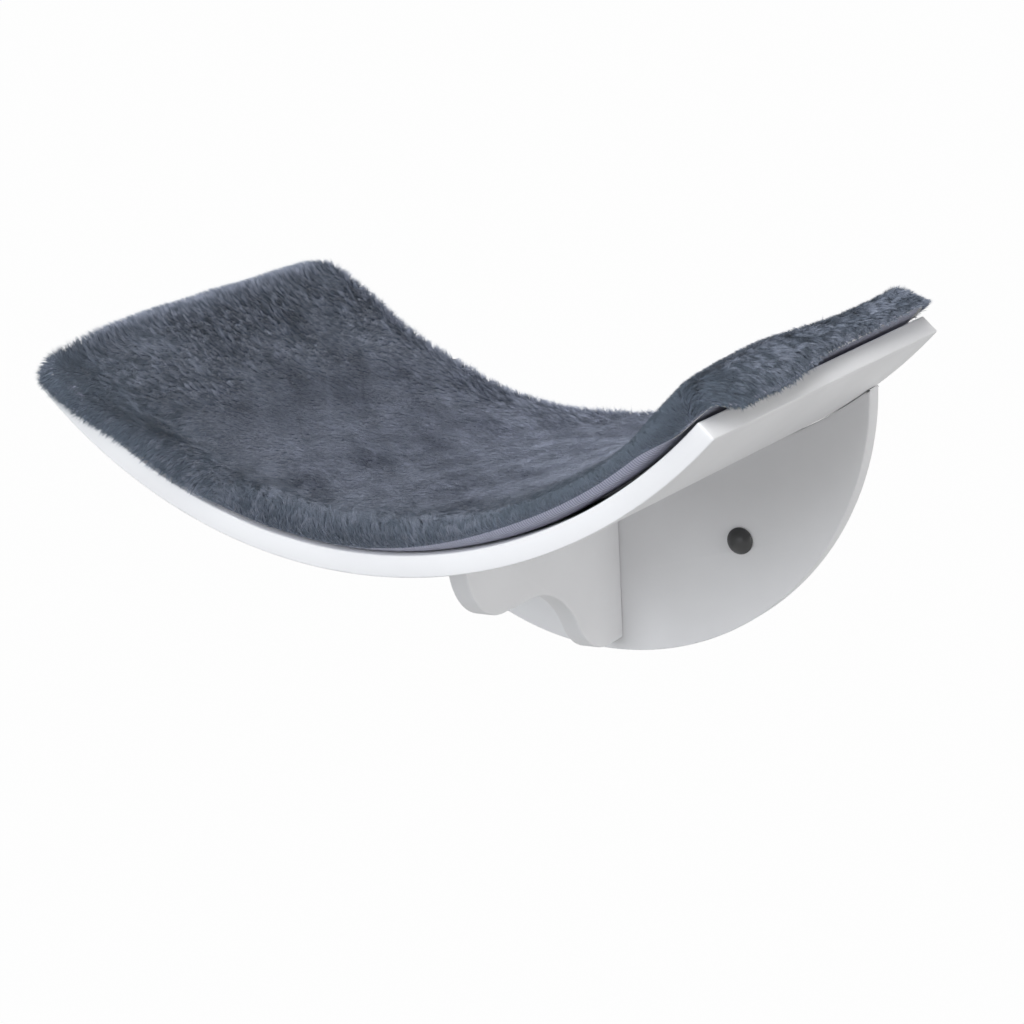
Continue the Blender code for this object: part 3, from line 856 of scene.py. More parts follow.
# %% Its crown and its seam
SKIN_HEIGHT = 0.0135
SKIN_CROWN = 0.0052
RIGHT_SWELL = 0.0086
RIGHT_EVEN_SHARES = (0.40, 0.14)
RIGHT_FRONT_SWELL = 0.0026
LEFT_SWELL = 0.0024
BACK_SWELL = 0.0032
BACK_LEFT_SWELL = 0.0034
CORNER_SAG = 0.0100
CORNER_DROP = 0.0022
LIFT_BY_TAPES = 0.0032
LIFT_IN_MIDDLE = 0.0010
SEAM_HEIGHT = 0.0034
SEAM_WIDTH = 0.0004
FRONT_SEAM_CLIMB = 0.0056
RIGHT_SEAM_SINK = 0.0094
BACK_SINK_SHARE = 0.18
TIP_SEAM_SINK = 0.0016
CORNER_SEAM_SINK = 0.0112


def smooth_step(values, start, full, *fall):
    """0 at start, 1 at full and a smooth step in between. It falls again between two more numbers."""
    share = np.clip((values - start) / (full - start), 0, 1)
    step = share * share * (3 - 2 * share)
    return step * smooth_step(values, *reversed(fall)) if fall else step


def within(span, front_shares):
    """1 in this span along the cushion and in these shares of its depth, from -1 (back) to 1 (front)."""
    return smooth_step(along, *span) * smooth_step(forward, *front_shares)


at_corner = within((-0.150, -0.222), front_shares=(0.30, 0.95))
at_right = smooth_step(along, 0.153, 0.224)
even_share = np.where(forward > 0, RIGHT_EVEN_SHARES[1], RIGHT_EVEN_SHARES[0])
top = SKIN_HEIGHT + SKIN_CROWN * dome_along * dome_across - CORNER_SAG * at_corner
top += RIGHT_SWELL * at_right * (even_share + (1 - even_share) * dome_across)
top += RIGHT_FRONT_SWELL * within((0.153, 0.224), front_shares=(-0.35, 0.10, 0.70, 0.98))
top += LEFT_SWELL * within((-0.150, -0.215), front_shares=(1.0, 0.3))
top += BACK_SWELL * within((-0.230, -0.200, 0.200, 0.240), front_shares=(-0.4, -0.9))
top += BACK_LEFT_SWELL * within((-0.215, -0.175, -0.120, -0.060), front_shares=(-0.4, -0.9))

to_tapes = smooth_step(np.abs(along), 0, tape_x - TAPE_LENGTH / 2)
lift = LIFT_IN_MIDDLE + (LIFT_BY_TAPES - LIFT_IN_MIDDLE) * to_tapes
lift -= CORNER_DROP * within((-0.198, -0.222), front_shares=(0.55, 0.90))

at_front = (0.75, 0.98)
sink = BACK_SINK_SHARE + (1 - BACK_SINK_SHARE) * smooth_step(forward, -0.10, 0.45)
seam = SEAM_HEIGHT + FRONT_SEAM_CLIMB * within((-0.020, 0.110, 0.178, 0.217), at_front)
seam -= RIGHT_SEAM_SINK * sink * within((0.205, 0.226), front_shares=(0.90, 0.73))
seam -= CORNER_SEAM_SINK * within((-0.150, -0.225), at_front)
seam -= TIP_SEAM_SINK * within((0.175, 0.210), at_front)
seam += np.where(upper, SEAM_WIDTH / 2, -SEAM_WIDTH / 2)
height = seam + (np.where(upper, top, lift) - seam) * (1 - down_along) * (1 - down_across)

# %% [markdown]
# ## Its plan
#
# Seen from above, the corners are round and the sides are drawn in a little between them. The left end, and
# the back of the right end, reach further out than the rest. Last, whatever would lie in the shelf is moved
# out of it, past its top, its front or its end.

# %% Its plan
CUSHION_CORNER_RADIUS = 0.0170
BACK_RIGHT_CORNER_RADIUS = 0.0140
CUSHION_DRAW_IN = 0.0012
LEFT_REACH = 0.0034
RIGHT_REACH = 0.0040
CORNER_REACH = 0.0008
SKIN_GAP = 0.0024
UNDER_GAP = 0.0006


def round_plan(along, across):
    """Rounds the plan's corners and draws its sides in between them."""
    squarer = (along > 0) & (across > 0)
    corner = np.where(squarer, BACK_RIGHT_CORNER_RADIUS, CUSHION_CORNER_RADIUS)
    past_along = np.clip((np.abs(along) - CUSHION_HALF_LENGTH + corner) / corner, 0, 1)
    past_across = np.clip((np.abs(across) - CUSHION_HALF_DEPTH + corner) / corner, 0, 1)
    along = along - np.sign(along) * corner * past_along * (1 - np.sqrt(1 - past_across ** 2 / 2))
    across = across - np.sign(across) * corner * past_across * (1 - np.sqrt(1 - past_along ** 2 / 2))
    bow_along = 1 - (along / CUSHION_HALF_LENGTH) ** 2
    bow_across = 1 - (across / CUSHION_HALF_DEPTH) ** 2
    along = along * (1 - CUSHION_DRAW_IN / CUSHION_HALF_LENGTH * bow_across)
    across = across * (1 - CUSHION_DRAW_IN / CUSHION_HALF_DEPTH * bow_along)
    return along, across


def clear_of_shelf(places, gap):
    """Moves flat places that lie in the shelf, or within this gap of it, out past its nearest side."""
    past_end = np.abs(places[..., 0]) - SHELF_HALF_ARC
    past = np.stack((past_end, -SHELF_DEPTH - places[..., 1], places[..., 2]))
    nearest = np.where(past.max(0) < gap, np.argmax(past, 0), -1)
    outside = (np.sign(places[..., 0]) * (SHELF_HALF_ARC + gap), -SHELF_DEPTH - gap, gap)
    for axis, place in enumerate(outside):
        places[..., axis] = np.where(nearest == axis, place, places[..., axis])
    places[..., 1] = np.minimum(places[..., 1], -FIT_GAP)
    return places


along, across = round_plan(along, across)
along -= LEFT_REACH * dome_across * within((-0.190, -0.228), front_shares=(0.95, 0.20))
along += RIGHT_REACH * within((0.190, 0.228), front_shares=(-0.30, -0.85))
along -= CORNER_REACH * at_corner * smooth_step(forward, 0.78, 1.0) * down_along
across -= CORNER_REACH * at_corner * down_across
flat_body = np.column_stack((along, CUSHION_MIDDLE_Y + across, height))
put_corners(pad, clear_of_shelf(flat_body, np.where(upper, SKIN_GAP, UNDER_GAP)))

# %% [markdown]
# ## Sewn cloth, filled
#
# A short cloth simulation fills the cushion: gravity is off, a gentle pressure pushes outwards, and the seam
# is pinned, and so is the lower cloth from the tapes outwards. The cloth then swells between them with the
# slight unevenness of real fabric. How far a corner may move is capped, so the cushion keeps the size that
# was measured.

# %% Sewn cloth, filled
FILL_PRESSURE = 4.0
FILL_FRAMES = 20
MOST_SWELL = 0.0022

before = corners_of(pad)
pinned = pad.vertex_groups.new(name="pinned")
at_seam = (down_along > 1 - WELD) | (down_across > 1 - WELD)
over_tape = ~upper & (np.abs(before[:, 0]) > tape_x - TAPE_LENGTH / 2)
pinned.add([int(number) for number in np.flatnonzero(at_seam | over_tape)], 1.0, "REPLACE")
cloth = pad.modifiers.new("cloth", "CLOTH")
cloth.settings.use_pressure = True
cloth.settings.uniform_pressure_force = FILL_PRESSURE
cloth.settings.vertex_group_mass = "pinned"
cloth.settings.effector_weights.gravity = 0
cloth.point_cache.frame_start = 1
cloth.point_cache.frame_end = FILL_FRAMES
for number in range(1, FILL_FRAMES + 1):
    bpy.context.scene.frame_set(number)
bpy.context.view_layer.objects.active = pad
bpy.ops.object.modifier_apply(modifier="cloth")
bpy.context.scene.frame_set(1)
moved = corners_of(pad) - before
length = np.linalg.norm(moved, axis=1, keepdims=True)
print("cloth moved up to", round(float(length.max()) * 1000, 1), "mm before the cap")
moved *= np.minimum(1, MOST_SWELL / np.maximum(length, WELD))
put_corners(pad, clear_of_shelf(before + moved, np.where(upper, SKIN_GAP, UNDER_GAP)))
wadding = copy_of(pad, "wadding_pad")
add_modifier(pad, "SUBSURF", levels=1, render_levels=1)

# %% [markdown]
# ## Two cloths from one body
#
# The faces above the seam become the plush's skin, and those below it the knitted underside. Both keep the
# flat form for now, because the pile is planted on the flat skin and the knit's pattern follows the flat
# cloth.

# %% Two cloths from one body
CLOTH_THICKNESS = 0.0008


def half_of(body, name, kept):
    """A copy of the cushion's body that keeps only one of its two cloths."""
    piece = copy_of(body, name)
    pick(piece)
    edit()
    select_in("faces", lambda face: face.material_index != kept)
    bpy.ops.mesh.delete(type="FACE")
    leave_edit()
    for face in piece.data.polygons:
        face.material_index = 0
    return piece


underside = half_of(pad, "knit_underside", 0)
skin = half_of(pad, "plush_skin", 1)
discard(pad)
print("skin", len(skin.data.polygons), "faces, underside", len(underside.data.polygons), "faces")

# %% [markdown]
# ## The knitted underside
#
# The underside is a fine lavender-grey knit. Its columns of stitches, called wales, run square to the front
# edge, where a strip of it shows below the pile. The pattern must bend with the cloth, so it reads a UV map
# that holds each corner's place on the flat cloth. The rim's height is added to that place, so the map
# doesn't smear there.
# The grooves between the stitches are painted darker, as shade.

# %% The knitted underside
KNIT_GREY = (0.41, 0.42, 0.53)
# The darker colour is painted shade for the grooves between stitches:
KNIT_GROOVE_SHADE = (0.20, 0.21, 0.28)
WALE_PITCH = 0.0015
COURSE_PITCH = 0.0010
WALE_SHARE = 0.75
UNEVEN_SHARE = 0.3
MAP_SCALE = 100

flat = corners_of(underside)
from_middle = flat[:, 1] - CUSHION_MIDDLE_Y
rim = smooth_step(np.abs(from_middle), CUSHION_HALF_DEPTH - UNDER_ROUND, CUSHION_HALF_DEPTH)
on_cloth = np.column_stack((flat[:, 0], flat[:, 1] + np.sign(from_middle) * rim * flat[:, 2]))
cloth_map = underside.data.uv_layers.new(name="cloth")
loop_corner = np.empty(len(underside.data.loops), np.int32)
underside.data.loops.foreach_get("vertex_index", loop_corner)
cloth_map.uv.foreach_set("vector", (on_cloth[loop_corner] * MAP_SCALE).ravel())


def wave(place, pitch, shift=None):
    """A wave of this pitch across the cloth, from -1 to 1."""
    turn = place * (2 * pi / pitch / MAP_SCALE)
    return (turn if shift is None else turn + shift).math("SINE")


knit = Finish("grey_knit", roughness=0.9)
wale_place, course_place = knit.map_axes("cloth")
wale = wave(wale_place, WALE_PITCH) * 0.5 + 0.5
course = wave(course_place, COURSE_PITCH, wave(wale_place, WALE_PITCH, pi / 2)) * 0.5 + 0.5
stitch = wale * WALE_SHARE + course * (1 - WALE_SHARE)
uneven = 1 - UNEVEN_SHARE + UNEVEN_SHARE * knit.noise(size=0.012, detail=3)
# Painted shade: the colour darkens where the stitches' relief is low.
knit.set("Base Color", knit.blend(stitch.between(0.05, 0.6) * uneven, KNIT_GROOVE_SHADE, KNIT_GREY))
knit.set("Sheen Weight", 0.2)
knit.relief(stitch, WALE_PITCH / 4, strength=0.8)

bend(underside)
add_modifier(underside, "SOLIDIFY", thickness=CLOTH_THICKNESS, offset=-1)
smooth(underside)
settle(underside, "knit_underside", knit, "cushion", ["cushion_backing"])

# %% [markdown]
# ## Planting the pile
#
# Plush is a cloth with a dense pile of soft fibres. Blender's hair would show in a picture, but it can't be
# exported as a mesh, so each strand is a thin three-sided cone. One is modelled, and copied to places spread
# evenly over the skin. It has only four faces, because the pile needs hundreds of thousands of them.

# %% One strand
bpy.ops.mesh.primitive_cone_add(vertices=3, radius1=1, radius2=0, depth=1, location=(0, 0, 0.5))
strand = bpy.context.object
apply_place()
strand_corners = corners_of(strand)
strand_faces = np.array([list(face.vertices) for face in strand.data.polygons])
discard(strand)
print("one strand:", len(strand_corners), "corners,", len(strand_faces), "faces")

# %% Where the strands stand
STRAND_SEED = 7
STRAND_COUNT = 398000

chance = np.random.default_rng(STRAND_SEED)
skin.data.calc_loop_triangles()
triangles = np.empty(len(skin.data.loop_triangles) * 3, np.int32)
skin.data.loop_triangles.foreach_get("vertices", triangles)
triangles = triangles.reshape(-1, 3)
skin_places = corners_of(skin)
skin_normals = np.empty(len(skin.data.vertices) * 3)
skin.data.vertices.foreach_get("normal", skin_normals)
skin_normals = skin_normals.reshape(-1, 3)

first, second, third = (skin_places[triangles[:, corner]] for corner in range(3))
ends = np.cumsum(np.linalg.norm(np.cross(second - first, third - first), axis=1) / 2)
spots = (np.arange(STRAND_COUNT) + chance.random(STRAND_COUNT)) * ends[-1] / STRAND_COUNT
chosen = triangles[np.searchsorted(ends, spots).clip(0, len(ends) - 1)]
away_share = np.sqrt(chance.random(STRAND_COUNT))
turn_share = chance.random(STRAND_COUNT)
weights = np.column_stack((1 - away_share, away_share * (1 - turn_share), away_share * turn_share))


def unit_rows(vectors):
    return vectors / np.maximum(np.linalg.norm(vectors, axis=1, keepdims=True), WELD)


roots = (skin_places[chosen] * weights[:, :, None]).sum(1)
outward = unit_rows((skin_normals[chosen] * weights[:, :, None]).sum(1))
print("pile:", STRAND_COUNT, "strands on", round(ends[-1] * 1e4), "square cm")

# %% [markdown]
# ## Which way the strands lean
#
# Strands look like plush, and not like grass, when each leans almost flat and as its neighbours do. Here the
# pile is brushed towards the front, with soft waves in that direction. At the ends and along the back it
# leans out over the rim. Along the front edge it stands up, and at the front left corner and the right end
# it hangs down over the shelf.
#
# A wave is given by its strength, its size and its seed.

# %% Which way the strands lean
RIPPLES = 6
DRIFT = -0.12
DRIFT_WAVES = ((0.10, 0.070, 11), (0.16, 0.020, 12))


def waves(table):
    """The sum of soft waves over the cloth, each from about -1 to 1 times its strength."""
    total = 0
    for strength, size, seed in table:
        wave_sum = 0
        for turn, phase, stretch in np.random.default_rng(seed).random((RIPPLES, 3)):
            direction = np.array([cos(2 * pi * turn), sin(2 * pi * turn)]) * (0.6 + stretch) * pi / size
            wave_sum = wave_sum + np.sin(roots[:, :2] @ direction + 2 * pi * phase)
        total = total + strength * (wave_sum / 3)
    return total


from_left = CUSHION_HALF_LENGTH + roots[:, 0]
from_right = CUSHION_HALF_LENGTH - roots[:, 0]
from_front = roots[:, 1] - CUSHION_FRONT_Y
from_back = CUSHION_BACK_Y - roots[:, 1]
near_left, near_right, near_front, near_back = (
    smooth_step(distance, reach, 0.002)
    for distance, reach in ((from_left, 0.016), (from_right, 0.012), (from_front, 0.022), (from_back, 0.016))
)
left_share = smooth_step(-roots[:, 0], 0.050, 0.180)
right_rim = smooth_step(from_right, 0.012, 0.001)

drift = waves(DRIFT_WAVES) + DRIFT
lean = np.column_stack((np.sin(drift), -np.cos(drift), np.zeros(STRAND_COUNT)))
for where, pull in (
    (near_right - near_left, (2.0, 0, 0)),
    (near_back, (0, 1.6, 0)),
    (near_front * (1 - left_share), (0, 1.5, 0.8)),
    (near_front * left_share, (0, -2.0, -1.4)),
    (near_left * (1 - near_back), (0, 0, -0.6)),
    (near_left * smooth_step(from_front, 0.080, 0.025), (0, 0, -1.3)),
    (right_rim, (0, 0, -1.1)),
    (right_rim * smooth_step(from_back, 0.110, 0.190), (0, 0, -1.2)),
):
    lean += where[:, None] * pull

# %% [markdown]
# ## Tufts
#
# The tips gather into small tufts, which differ in length, direction and shade, with dark partings between
# them. A tuft is a cell of a grid with one random middle. The pile is roughest at its ends and its edges.
# Round the rim the cells are laid out on the unrolled cloth, or they would turn into long streaks.

# %% Tufts
TUFT_SIZE = 0.0028
TUFT_SEED = 21
TUFT_TABLE_ROWS = 4096


def tufts(places):
    """The middle of the tuft each place belongs to, and two chances from -0.5 to 0.5 that its tuft shares."""
    cells = np.floor(places / TUFT_SIZE).astype(int)
    best = np.full(len(places), np.inf)
    middle = np.zeros((len(places), 2))
    luck = np.zeros((len(places), 2))
    table = np.random.default_rng(TUFT_SEED).random((TUFT_TABLE_ROWS, 4))
    for step_x in (-1, 0, 1):
        for step_y in (-1, 0, 1):
            cell = cells + (step_x, step_y)
            row = table[(cell[:, 0] * 73 + cell[:, 1] * 1031) % TUFT_TABLE_ROWS]
            spot = (cell + row[:, :2]) * TUFT_SIZE
            distance = np.linalg.norm(spot - places, axis=1)
            nearer = distance < best
            best = np.where(nearer, distance, best)
            middle[nearer] = spot[nearer]
            luck[nearer] = row[nearer, 2:]
    return middle, luck - 0.5


unrolled = roots[:, :2] + outward[:, :2] * (SKIN_HEIGHT - roots[:, 2:]).clip(0)
tuft_middle, tuft_luck = tufts(unrolled)

LEAST_ROUGHNESS = 0.25
ROUGH_WAVES = ((0.16, 0.040, 61), (0.10, 0.015, 62))

roughness = LEAST_ROUGHNESS + (1 - LEAST_ROUGHNESS) * np.maximum.reduce((
    smooth_step(from_left, 0.110, 0.030),
    smooth_step(from_right, 0.090, 0.040),
    0.8 * smooth_step(from_back, 0.080, 0.015),
    0.6 * smooth_step(from_front, 0.030, 0.008),
))
roughness = (roughness + waves(ROUGH_WAVES)).clip(0, 1)
print("tufts: half of the pile is rougher than", round(float(np.median(roughness)), 2))

# %% [markdown]
# ## From root to tip
#
# Each strand gets its length and its tilt, the angle between it and the cloth's normal. Rough pile is tilted
# less than smooth pile, and that along most of the rim least. Then a tuft's tips are drawn to its middle.

# %% From root to tip
STRAND_LENGTH = 0.0064
LENGTH_WAVES = ((0.10, 0.045, 31),)
TUFT_LENGTH_SHARE = 0.25
LEAST_LENGTH_SHARE = 0.72
LENGTH_RANGE_SHARE = 0.40
RIM_TRIM_SHARE = 0.26
SMOOTH_TILT = radians(75)
ROUGH_TILT = radians(67)
RIM_TILT = radians(36)
TILT_CHANGE = radians(5)
TUFT_TILT_CHANGE = radians(13)
TILT_WAVES = ((1, 0.030, 41),)
TIP_STAND_SHARE = 0.25
LEAST_GATHER_SHARE = 0.15
MOST_GATHER_SHARE = 0.48


def flat_on_cloth(vectors):
    """Takes away the part of each vector that points out of the cloth."""
    return vectors - outward * (vectors * outward).sum(1, keepdims=True)


length_here = STRAND_LENGTH * (1 + waves(LENGTH_WAVES))
length_here *= 1 + TUFT_LENGTH_SHARE * roughness * tuft_luck[:, 0]
length_here *= LEAST_LENGTH_SHARE + LENGTH_RANGE_SHARE * chance.random(STRAND_COUNT)
length_here *= 1 - RIM_TRIM_SHARE * np.maximum(near_front, near_right)

ruffled = (0.1 + roughness) * (1 + 2.2 * near_right)
lean[:, :2] += ruffled[:, None] * tuft_luck
lean[:, 2] += 2.0 * near_right * tuft_luck[:, 1]
lean[:, :2] += (0.4 + 0.3 * roughness[:, None]) * (chance.random((STRAND_COUNT, 2)) - 0.5)
lean = unit_rows(flat_on_cloth(lean))

at_tip = TIP_STAND_SHARE * near_right * smooth_step(from_back, 0.060, 0.020)
near_rim = np.maximum.reduce((near_left, near_back, near_front * (1 - left_share), at_tip))
tilt = SMOOTH_TILT + (ROUGH_TILT - SMOOTH_TILT) * roughness
tilt += (RIM_TILT - tilt) * near_rim
tilt += TILT_CHANGE * (waves(TILT_WAVES) + 1.6 * (chance.random(STRAND_COUNT) - 0.5))
tilt += TUFT_TILT_CHANGE * roughness * tuft_luck[:, 0]
along_strand = np.cos(tilt)[:, None] * outward + np.sin(tilt)[:, None] * lean

gather = LEAST_GATHER_SHARE + (MOST_GATHER_SHARE - LEAST_GATHER_SHARE) * roughness
to_middle = np.column_stack((tuft_middle - unrolled, np.zeros(STRAND_COUNT)))
tip = roots + length_here[:, None] * along_strand + gather[:, None] * flat_on_cloth(to_middle)

# %% [markdown]
# ## The cone, stretched along every strand
#
# The modelled cone is stretched from each root to its tip and turned by chance, for all strands at once.

# %% The cone, stretched along every strand
STRAND_RADIUS = 0.00022

side_way = unit_rows(np.cross(along_strand, outward))
other_way = np.cross(side_way, unit_rows(tip - roots))
width = STRAND_RADIUS * (0.75 + 0.5 * chance.random(STRAND_COUNT))
spin = 2 * pi * chance.random(STRAND_COUNT)
cone_x, cone_y, levels = strand_corners.T
ring_x = np.cos(spin)[:, None] * cone_x - np.sin(spin)[:, None] * cone_y
ring_y = np.sin(spin)[:, None] * cone_x + np.cos(spin)[:, None] * cone_y
ring = ring_x[..., None] * side_way[:, None] + ring_y[..., None] * other_way[:, None]
points = roots[:, None] + levels[:, None] * (tip - roots)[:, None] + width[:, None, None] * ring
points = clear_of_shelf(points, UNDER_GAP)

# %% [markdown]
# ## The pile's shades
#
# A strand is darker towards its root, which is painted shade for the depth of the pile.
# Its tip lies between a dark and a light grey, by one number called its tone. The tone varies at random,
# and it is also lowered towards both ends and along the front, which is painted shade, and raised along
# the left and back rims, which is a painted highlight. The material reads the tone, and how far up the
# strand a point lies, from a UV map, so the exported model keeps the colour.

# %% The pile's shades
TONE = 0.64
TONE_WAVES = ((0.05, 0.080, 51), (0.08, 0.012, 52))
TUFT_CONTRAST = 0.10
ROUGH_TUFT_CONTRAST = 0.44
STRAND_CONTRAST = 0.22
# A painted highlight along the left and back rims:
RIM_PAINTED_HIGHLIGHT = 0.15
# Painted shade towards the left and the right end of the pile:
LEFT_PAINTED_SHADE = 0.30
RIGHT_PAINTED_SHADE = 0.44
# Painted shade along the front edge, and more of it towards the front's right part:
FRONT_PAINTED_SHADE = 0.46
FRONT_RIGHT_PAINTED_SHADE = 0.30
LEAST_TONE = 0.02
# Towards its root a strand is painted darker, as shade deep in the pile:
PILE_ROOT_SHADE = (0.130, 0.155, 0.205)
PILE_DARK = (0.130, 0.165, 0.210)
PILE_LIGHT = (0.540, 0.575, 0.695)
PILE_MAP = "OFBake"

# Painted shade: the tone is lowered towards both ends of the cushion.
left_painted_shade = LEFT_PAINTED_SHADE * smooth_step(from_left, 0.130, 0.050)
right_painted_shade = RIGHT_PAINTED_SHADE * smooth_step(from_right, 0.080, 0.030)
# Where the front's extra painted shade lies:
front_right_shade_mask = smooth_step(roots[:, 0], 0.050, 0.120) * smooth_step(from_front, 0.060, 0.020)
tone_and_painted_light = TONE + waves(TONE_WAVES) - np.maximum(left_painted_shade, right_painted_shade)
tone_and_painted_light += (TUFT_CONTRAST + ROUGH_TUFT_CONTRAST * roughness) * tuft_luck[:, 1]
tone_and_painted_light += STRAND_CONTRAST * (chance.random(STRAND_COUNT) - 0.5)
# Painted highlight: the tone is raised along the left and back rims.
tone_and_painted_light += RIM_PAINTED_HIGHLIGHT * np.maximum(near_left, near_back)
# Painted shade: the tone is lowered along the front edge, most at its right part.
tone_and_painted_light -= FRONT_PAINTED_SHADE * smooth_step(from_front, 0.060, 0.006) + FRONT_RIGHT_PAINTED_SHADE * front_right_shade_mask
tone_and_painted_light = tone_and_painted_light.clip(LEAST_TONE, 1 - LEAST_TONE)

plush = Finish("grey_plush_pile", roughness=0.85)
tone_and_light_signal, up_signal = plush.map_axes(PILE_MAP)
tips = plush.blend(tone_and_light_signal, PILE_DARK, PILE_LIGHT)
# The colour turns to painted shade towards each strand's root.
plush.set("Base Color", plush.blend(up_signal.between(-0.2, 0.9), PILE_ROOT_SHADE, tips))
plush.set("Sheen Weight", 0.2)
plush.set("Specular IOR Level", 0.3)

# %% [markdown]
# ## The pile's meshes
#
# The strands are bent with the shelf and cut into pieces along the cushion, because one mesh of this size
# would be slow to handle. Their faces stay flat: a smooth normal on so thin a cone would point far off its
# face and make the pile look dull. In the map a strand is a thin upright sliver at its tone, and not a line
# with no width, so that a bake has some area to paint.

# %% The pile's meshes
PILE_PIECES = 9
SLIVER_WIDTH = 0.002


def pile_piece(name, chosen):
    """One mesh that holds the chosen strands."""
    count = len(chosen)
    corner_count = len(strand_corners)
    places = on_shelf(points[chosen].reshape(-1, 3))
    faces = (strand_faces[None] + corner_count * np.arange(count)[:, None, None]).reshape(-1, 3)
    mesh = bpy.data.meshes.new(name)
    mesh.vertices.add(len(places))
    mesh.vertices.foreach_set("co", places.ravel())
    mesh.loops.add(faces.size)
    mesh.loops.foreach_set("vertex_index", faces.ravel().astype(np.int32))
    mesh.polygons.add(len(faces))
    mesh.polygons.foreach_set("loop_start", np.arange(0, faces.size, 3, dtype=np.int32))
    mesh.update(calc_edges=True)
    mesh.polygons.foreach_set("use_smooth", np.zeros(len(faces), bool))
    map_x = np.repeat(tone_and_painted_light[chosen], corner_count) + SLIVER_WIDTH * np.tile(cone_x, count)
    map_y = np.tile((levels + SLIVER_WIDTH * (cone_y + 1)) / (1 + 2 * SLIVER_WIDTH), count)
    at_corners = np.column_stack((map_x, map_y))
    mesh.uv_layers.new(name=PILE_MAP).uv.foreach_set("vector", at_corners[faces.ravel()].ravel())
    piece = bpy.data.objects.new(name, mesh)
    bpy.context.scene.collection.objects.link(piece)
    settle(piece, name, plush, "cushion")


bands = np.digitize(roots[:, 0], np.quantile(roots[:, 0], np.linspace(0, 1, PILE_PIECES + 1)[1:-1]))
for number in range(PILE_PIECES):
    pile_piece(f"plush_pile_{number + 1}", np.flatnonzero(bands == number))

# %% [markdown]
# ## The skin under the pile
#
# The skin is dark, because hardly any light reaches it. It gets its thickness last: the pile was planted on
# the bare sheet.

# %% The skin under the pile
plush_base = Finish("grey_plush_base", roughness=0.95)
plush_base.mottle(dark=(0.080, 0.095, 0.128), light=(0.125, 0.148, 0.195), size=0.003, detail=3)
plush_base.grain(size=0.0009, detail=2, depth=0.0004, strength=0.8)

bend(skin)
add_modifier(skin, "SOLIDIFY", thickness=CLOTH_THICKNESS, offset=-1)
smooth(skin)
settle(skin, "plush_skin", plush_base, "cushion", ["plush_cover"])

# %% [markdown]
# ## Wadding
#
# The wadding never shows, but it fills the space between the two cloths, so it is the cushion's own body
# again. A Displace modifier could shrink it, but where the cushion is thin that would push one side out
# through the other. So each corner of its top is paired with the one below it, and both move towards their
# middle.

# %% Wadding
WADDING_THICKNESS_SHARE = 0.6
WADDING_INSET = 0.0020

white_fibre = Finish("white_fibre", roughness=0.95)
white_fibre.mottle(dark=(0.7, 0.7, 0.68), light=(0.85, 0.85, 0.83), size=0.004, detail=4)
white_fibre.grain(size=0.0012, detail=3, depth=0.0003, strength=0.8)

places = corners_of(wadding)
pairs = np.lexsort((upper, unit[:, 1].round(4), unit[:, 0].round(4))).reshape(-1, 2)
middles = places[pairs].mean(1, keepdims=True)
places[pairs] = middles + WADDING_THICKNESS_SHARE * (places[pairs] - middles)
places[:, 0] *= 1 - WADDING_INSET / CUSHION_HALF_LENGTH
places[:, 1] -= WADDING_INSET * (places[:, 1] - CUSHION_MIDDLE_Y) / CUSHION_HALF_DEPTH
put_corners(wadding, on_shelf(clear_of_shelf(places, UNDER_GAP + CLOTH_THICKNESS / 2)))
smooth(wadding)
settle(wadding, "wadding_pad", white_fibre, "cushion", ["cushion_wadding"])

# %% [markdown]
# ## Floor and sky
#
# The bed hangs in the air, as on its wall, above a pale floor. The floor is white to the camera and in
# reflections, but keeps a trace of light and shadow. The sky is white to the camera alone, and otherwise an
# even, weak light.

# %% Floor and sky
FLOOR_DROP = 0.55
FLOOR_SIZE = 60
FLOOR_GREY = (0.34, 0.34, 0.34)
FLOOR_WHITE_SHARE = 0.98
SKY_STRENGTH = 0.32
WHITE = (1, 1, 1)


def show_white(nodes, share, lit, white, output):
    """Shows this share of a plain white shader in place of the lit one."""
    mixed = nodes.add("ShaderNodeMixShader", None, {0: share, 1: lit.outputs[0], 2: white.outputs[0]})
    nodes.feed(nodes.tree.nodes[output].inputs["Surface"], mixed.outputs[0])


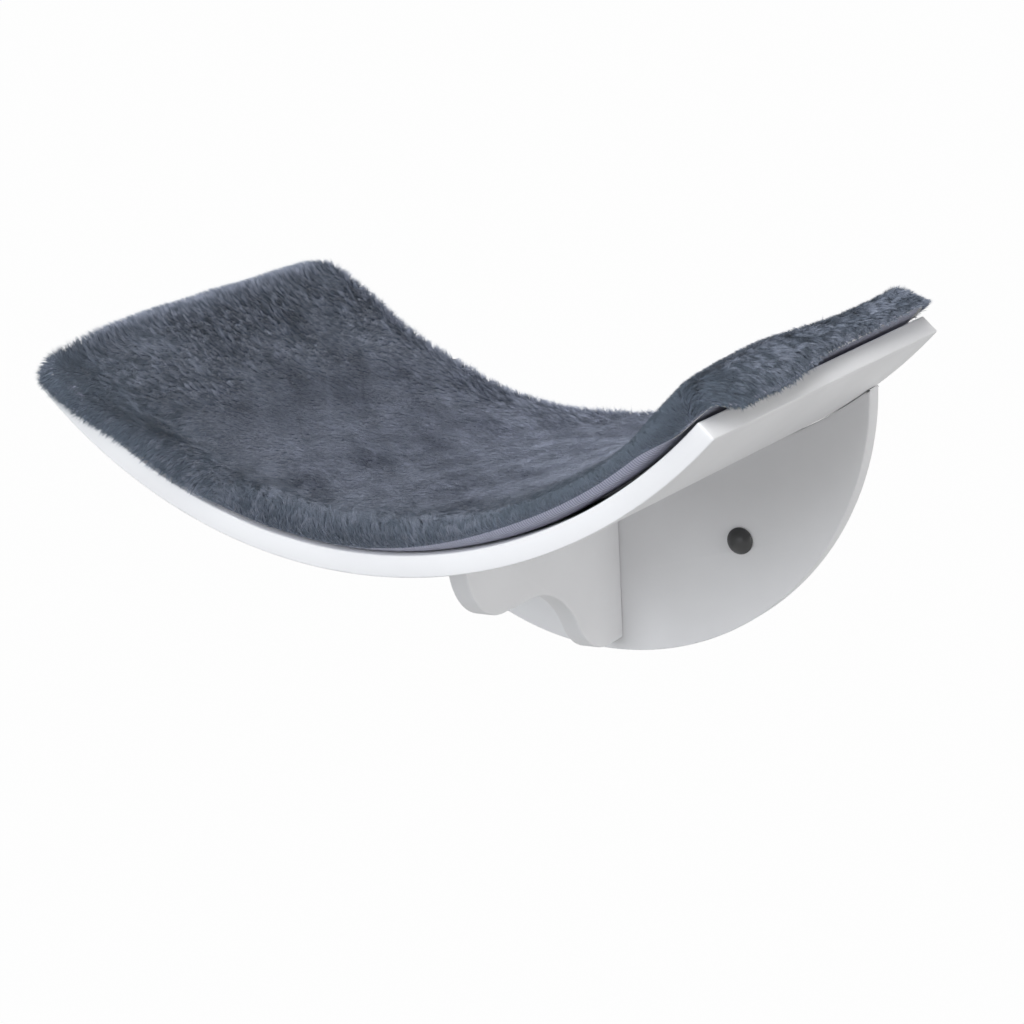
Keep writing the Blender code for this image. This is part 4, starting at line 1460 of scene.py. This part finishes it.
bpy.ops.mesh.primitive_plane_add(size=FLOOR_SIZE, location=(0, 0, cad_box[0].z - FLOOR_DROP))
floor = bpy.context.object
floor.name = "floor"
pale = Finish("pale_floor", roughness=0.9)
pale.set("Base Color", FLOOR_GREY)
ways = pale.add("ShaderNodeLightPath").outputs
seen = Signal(pale, ways["Is Camera Ray"])
for way in ("Is Glossy Ray", "Is Transmission Ray"):
    seen = seen.math("MAXIMUM", ways[way])
white_floor = pale.add("ShaderNodeEmission", None, {"Color": WHITE, "Strength": 1.0})
show_white(pale, seen * FLOOR_WHITE_SHARE, pale.shader, white_floor, "Material Output")
floor.data.materials.append(pale.material)

sky = bpy.data.worlds.new("sky")
sky.use_nodes = True
bpy.context.scene.world = sky
sky_nodes = Nodes(sky.node_tree)
sky_light = sky.node_tree.nodes["Background"]
sky_nodes.feed(sky_light.inputs["Color"], WHITE)
sky_nodes.feed(sky_light.inputs["Strength"], SKY_STRENGTH)
white_sky = sky_nodes.add("ShaderNodeBackground", None, {"Color": WHITE, "Strength": 1.0})
camera_ray = sky_nodes.add("ShaderNodeLightPath").outputs["Is Camera Ray"]
show_white(sky_nodes, camera_ray, sky_light, white_sky, "World Output")

# %% [markdown]
# ## Four suns
#
# Broad, soft suns light the bed as a studio's large lamps would. The key and a weaker fill shine from the
# front. One from above lights the tips of the pile. One from the right and slightly below brightens the
# shelf's underside, the rib and the plate.

# %% Four suns
COOL = (0.93, 0.96, 1.0)
# Each sun has a strength, then its azimuth (0 is the front, 90 the right), elevation and width in degrees.
SUNS = {
    "key": (1.55, -8, 18, 32, COOL),
    "fill": (0.7, 8, 35, 32, COOL),
    "top": (1.3, 0, 80, 40, WHITE),
    "side": (2.6, 85, -8, 50, WHITE),
}

for name, (strength, azimuth, elevation, broad, colour) in SUNS.items():
    bpy.ops.object.light_add(type="SUN")
    sun = bpy.context.object
    sun.name = name
    sun.data.energy = strength
    sun.data.angle = radians(broad)
    sun.data.color = colour
    upright = Matrix.Rotation(pi / 2 - radians(elevation), 4, "X")
    sun.matrix_world = Matrix.Rotation(radians(azimuth), 4, "Z") @ upright
bpy.context.scene.view_settings.view_transform = "Standard"
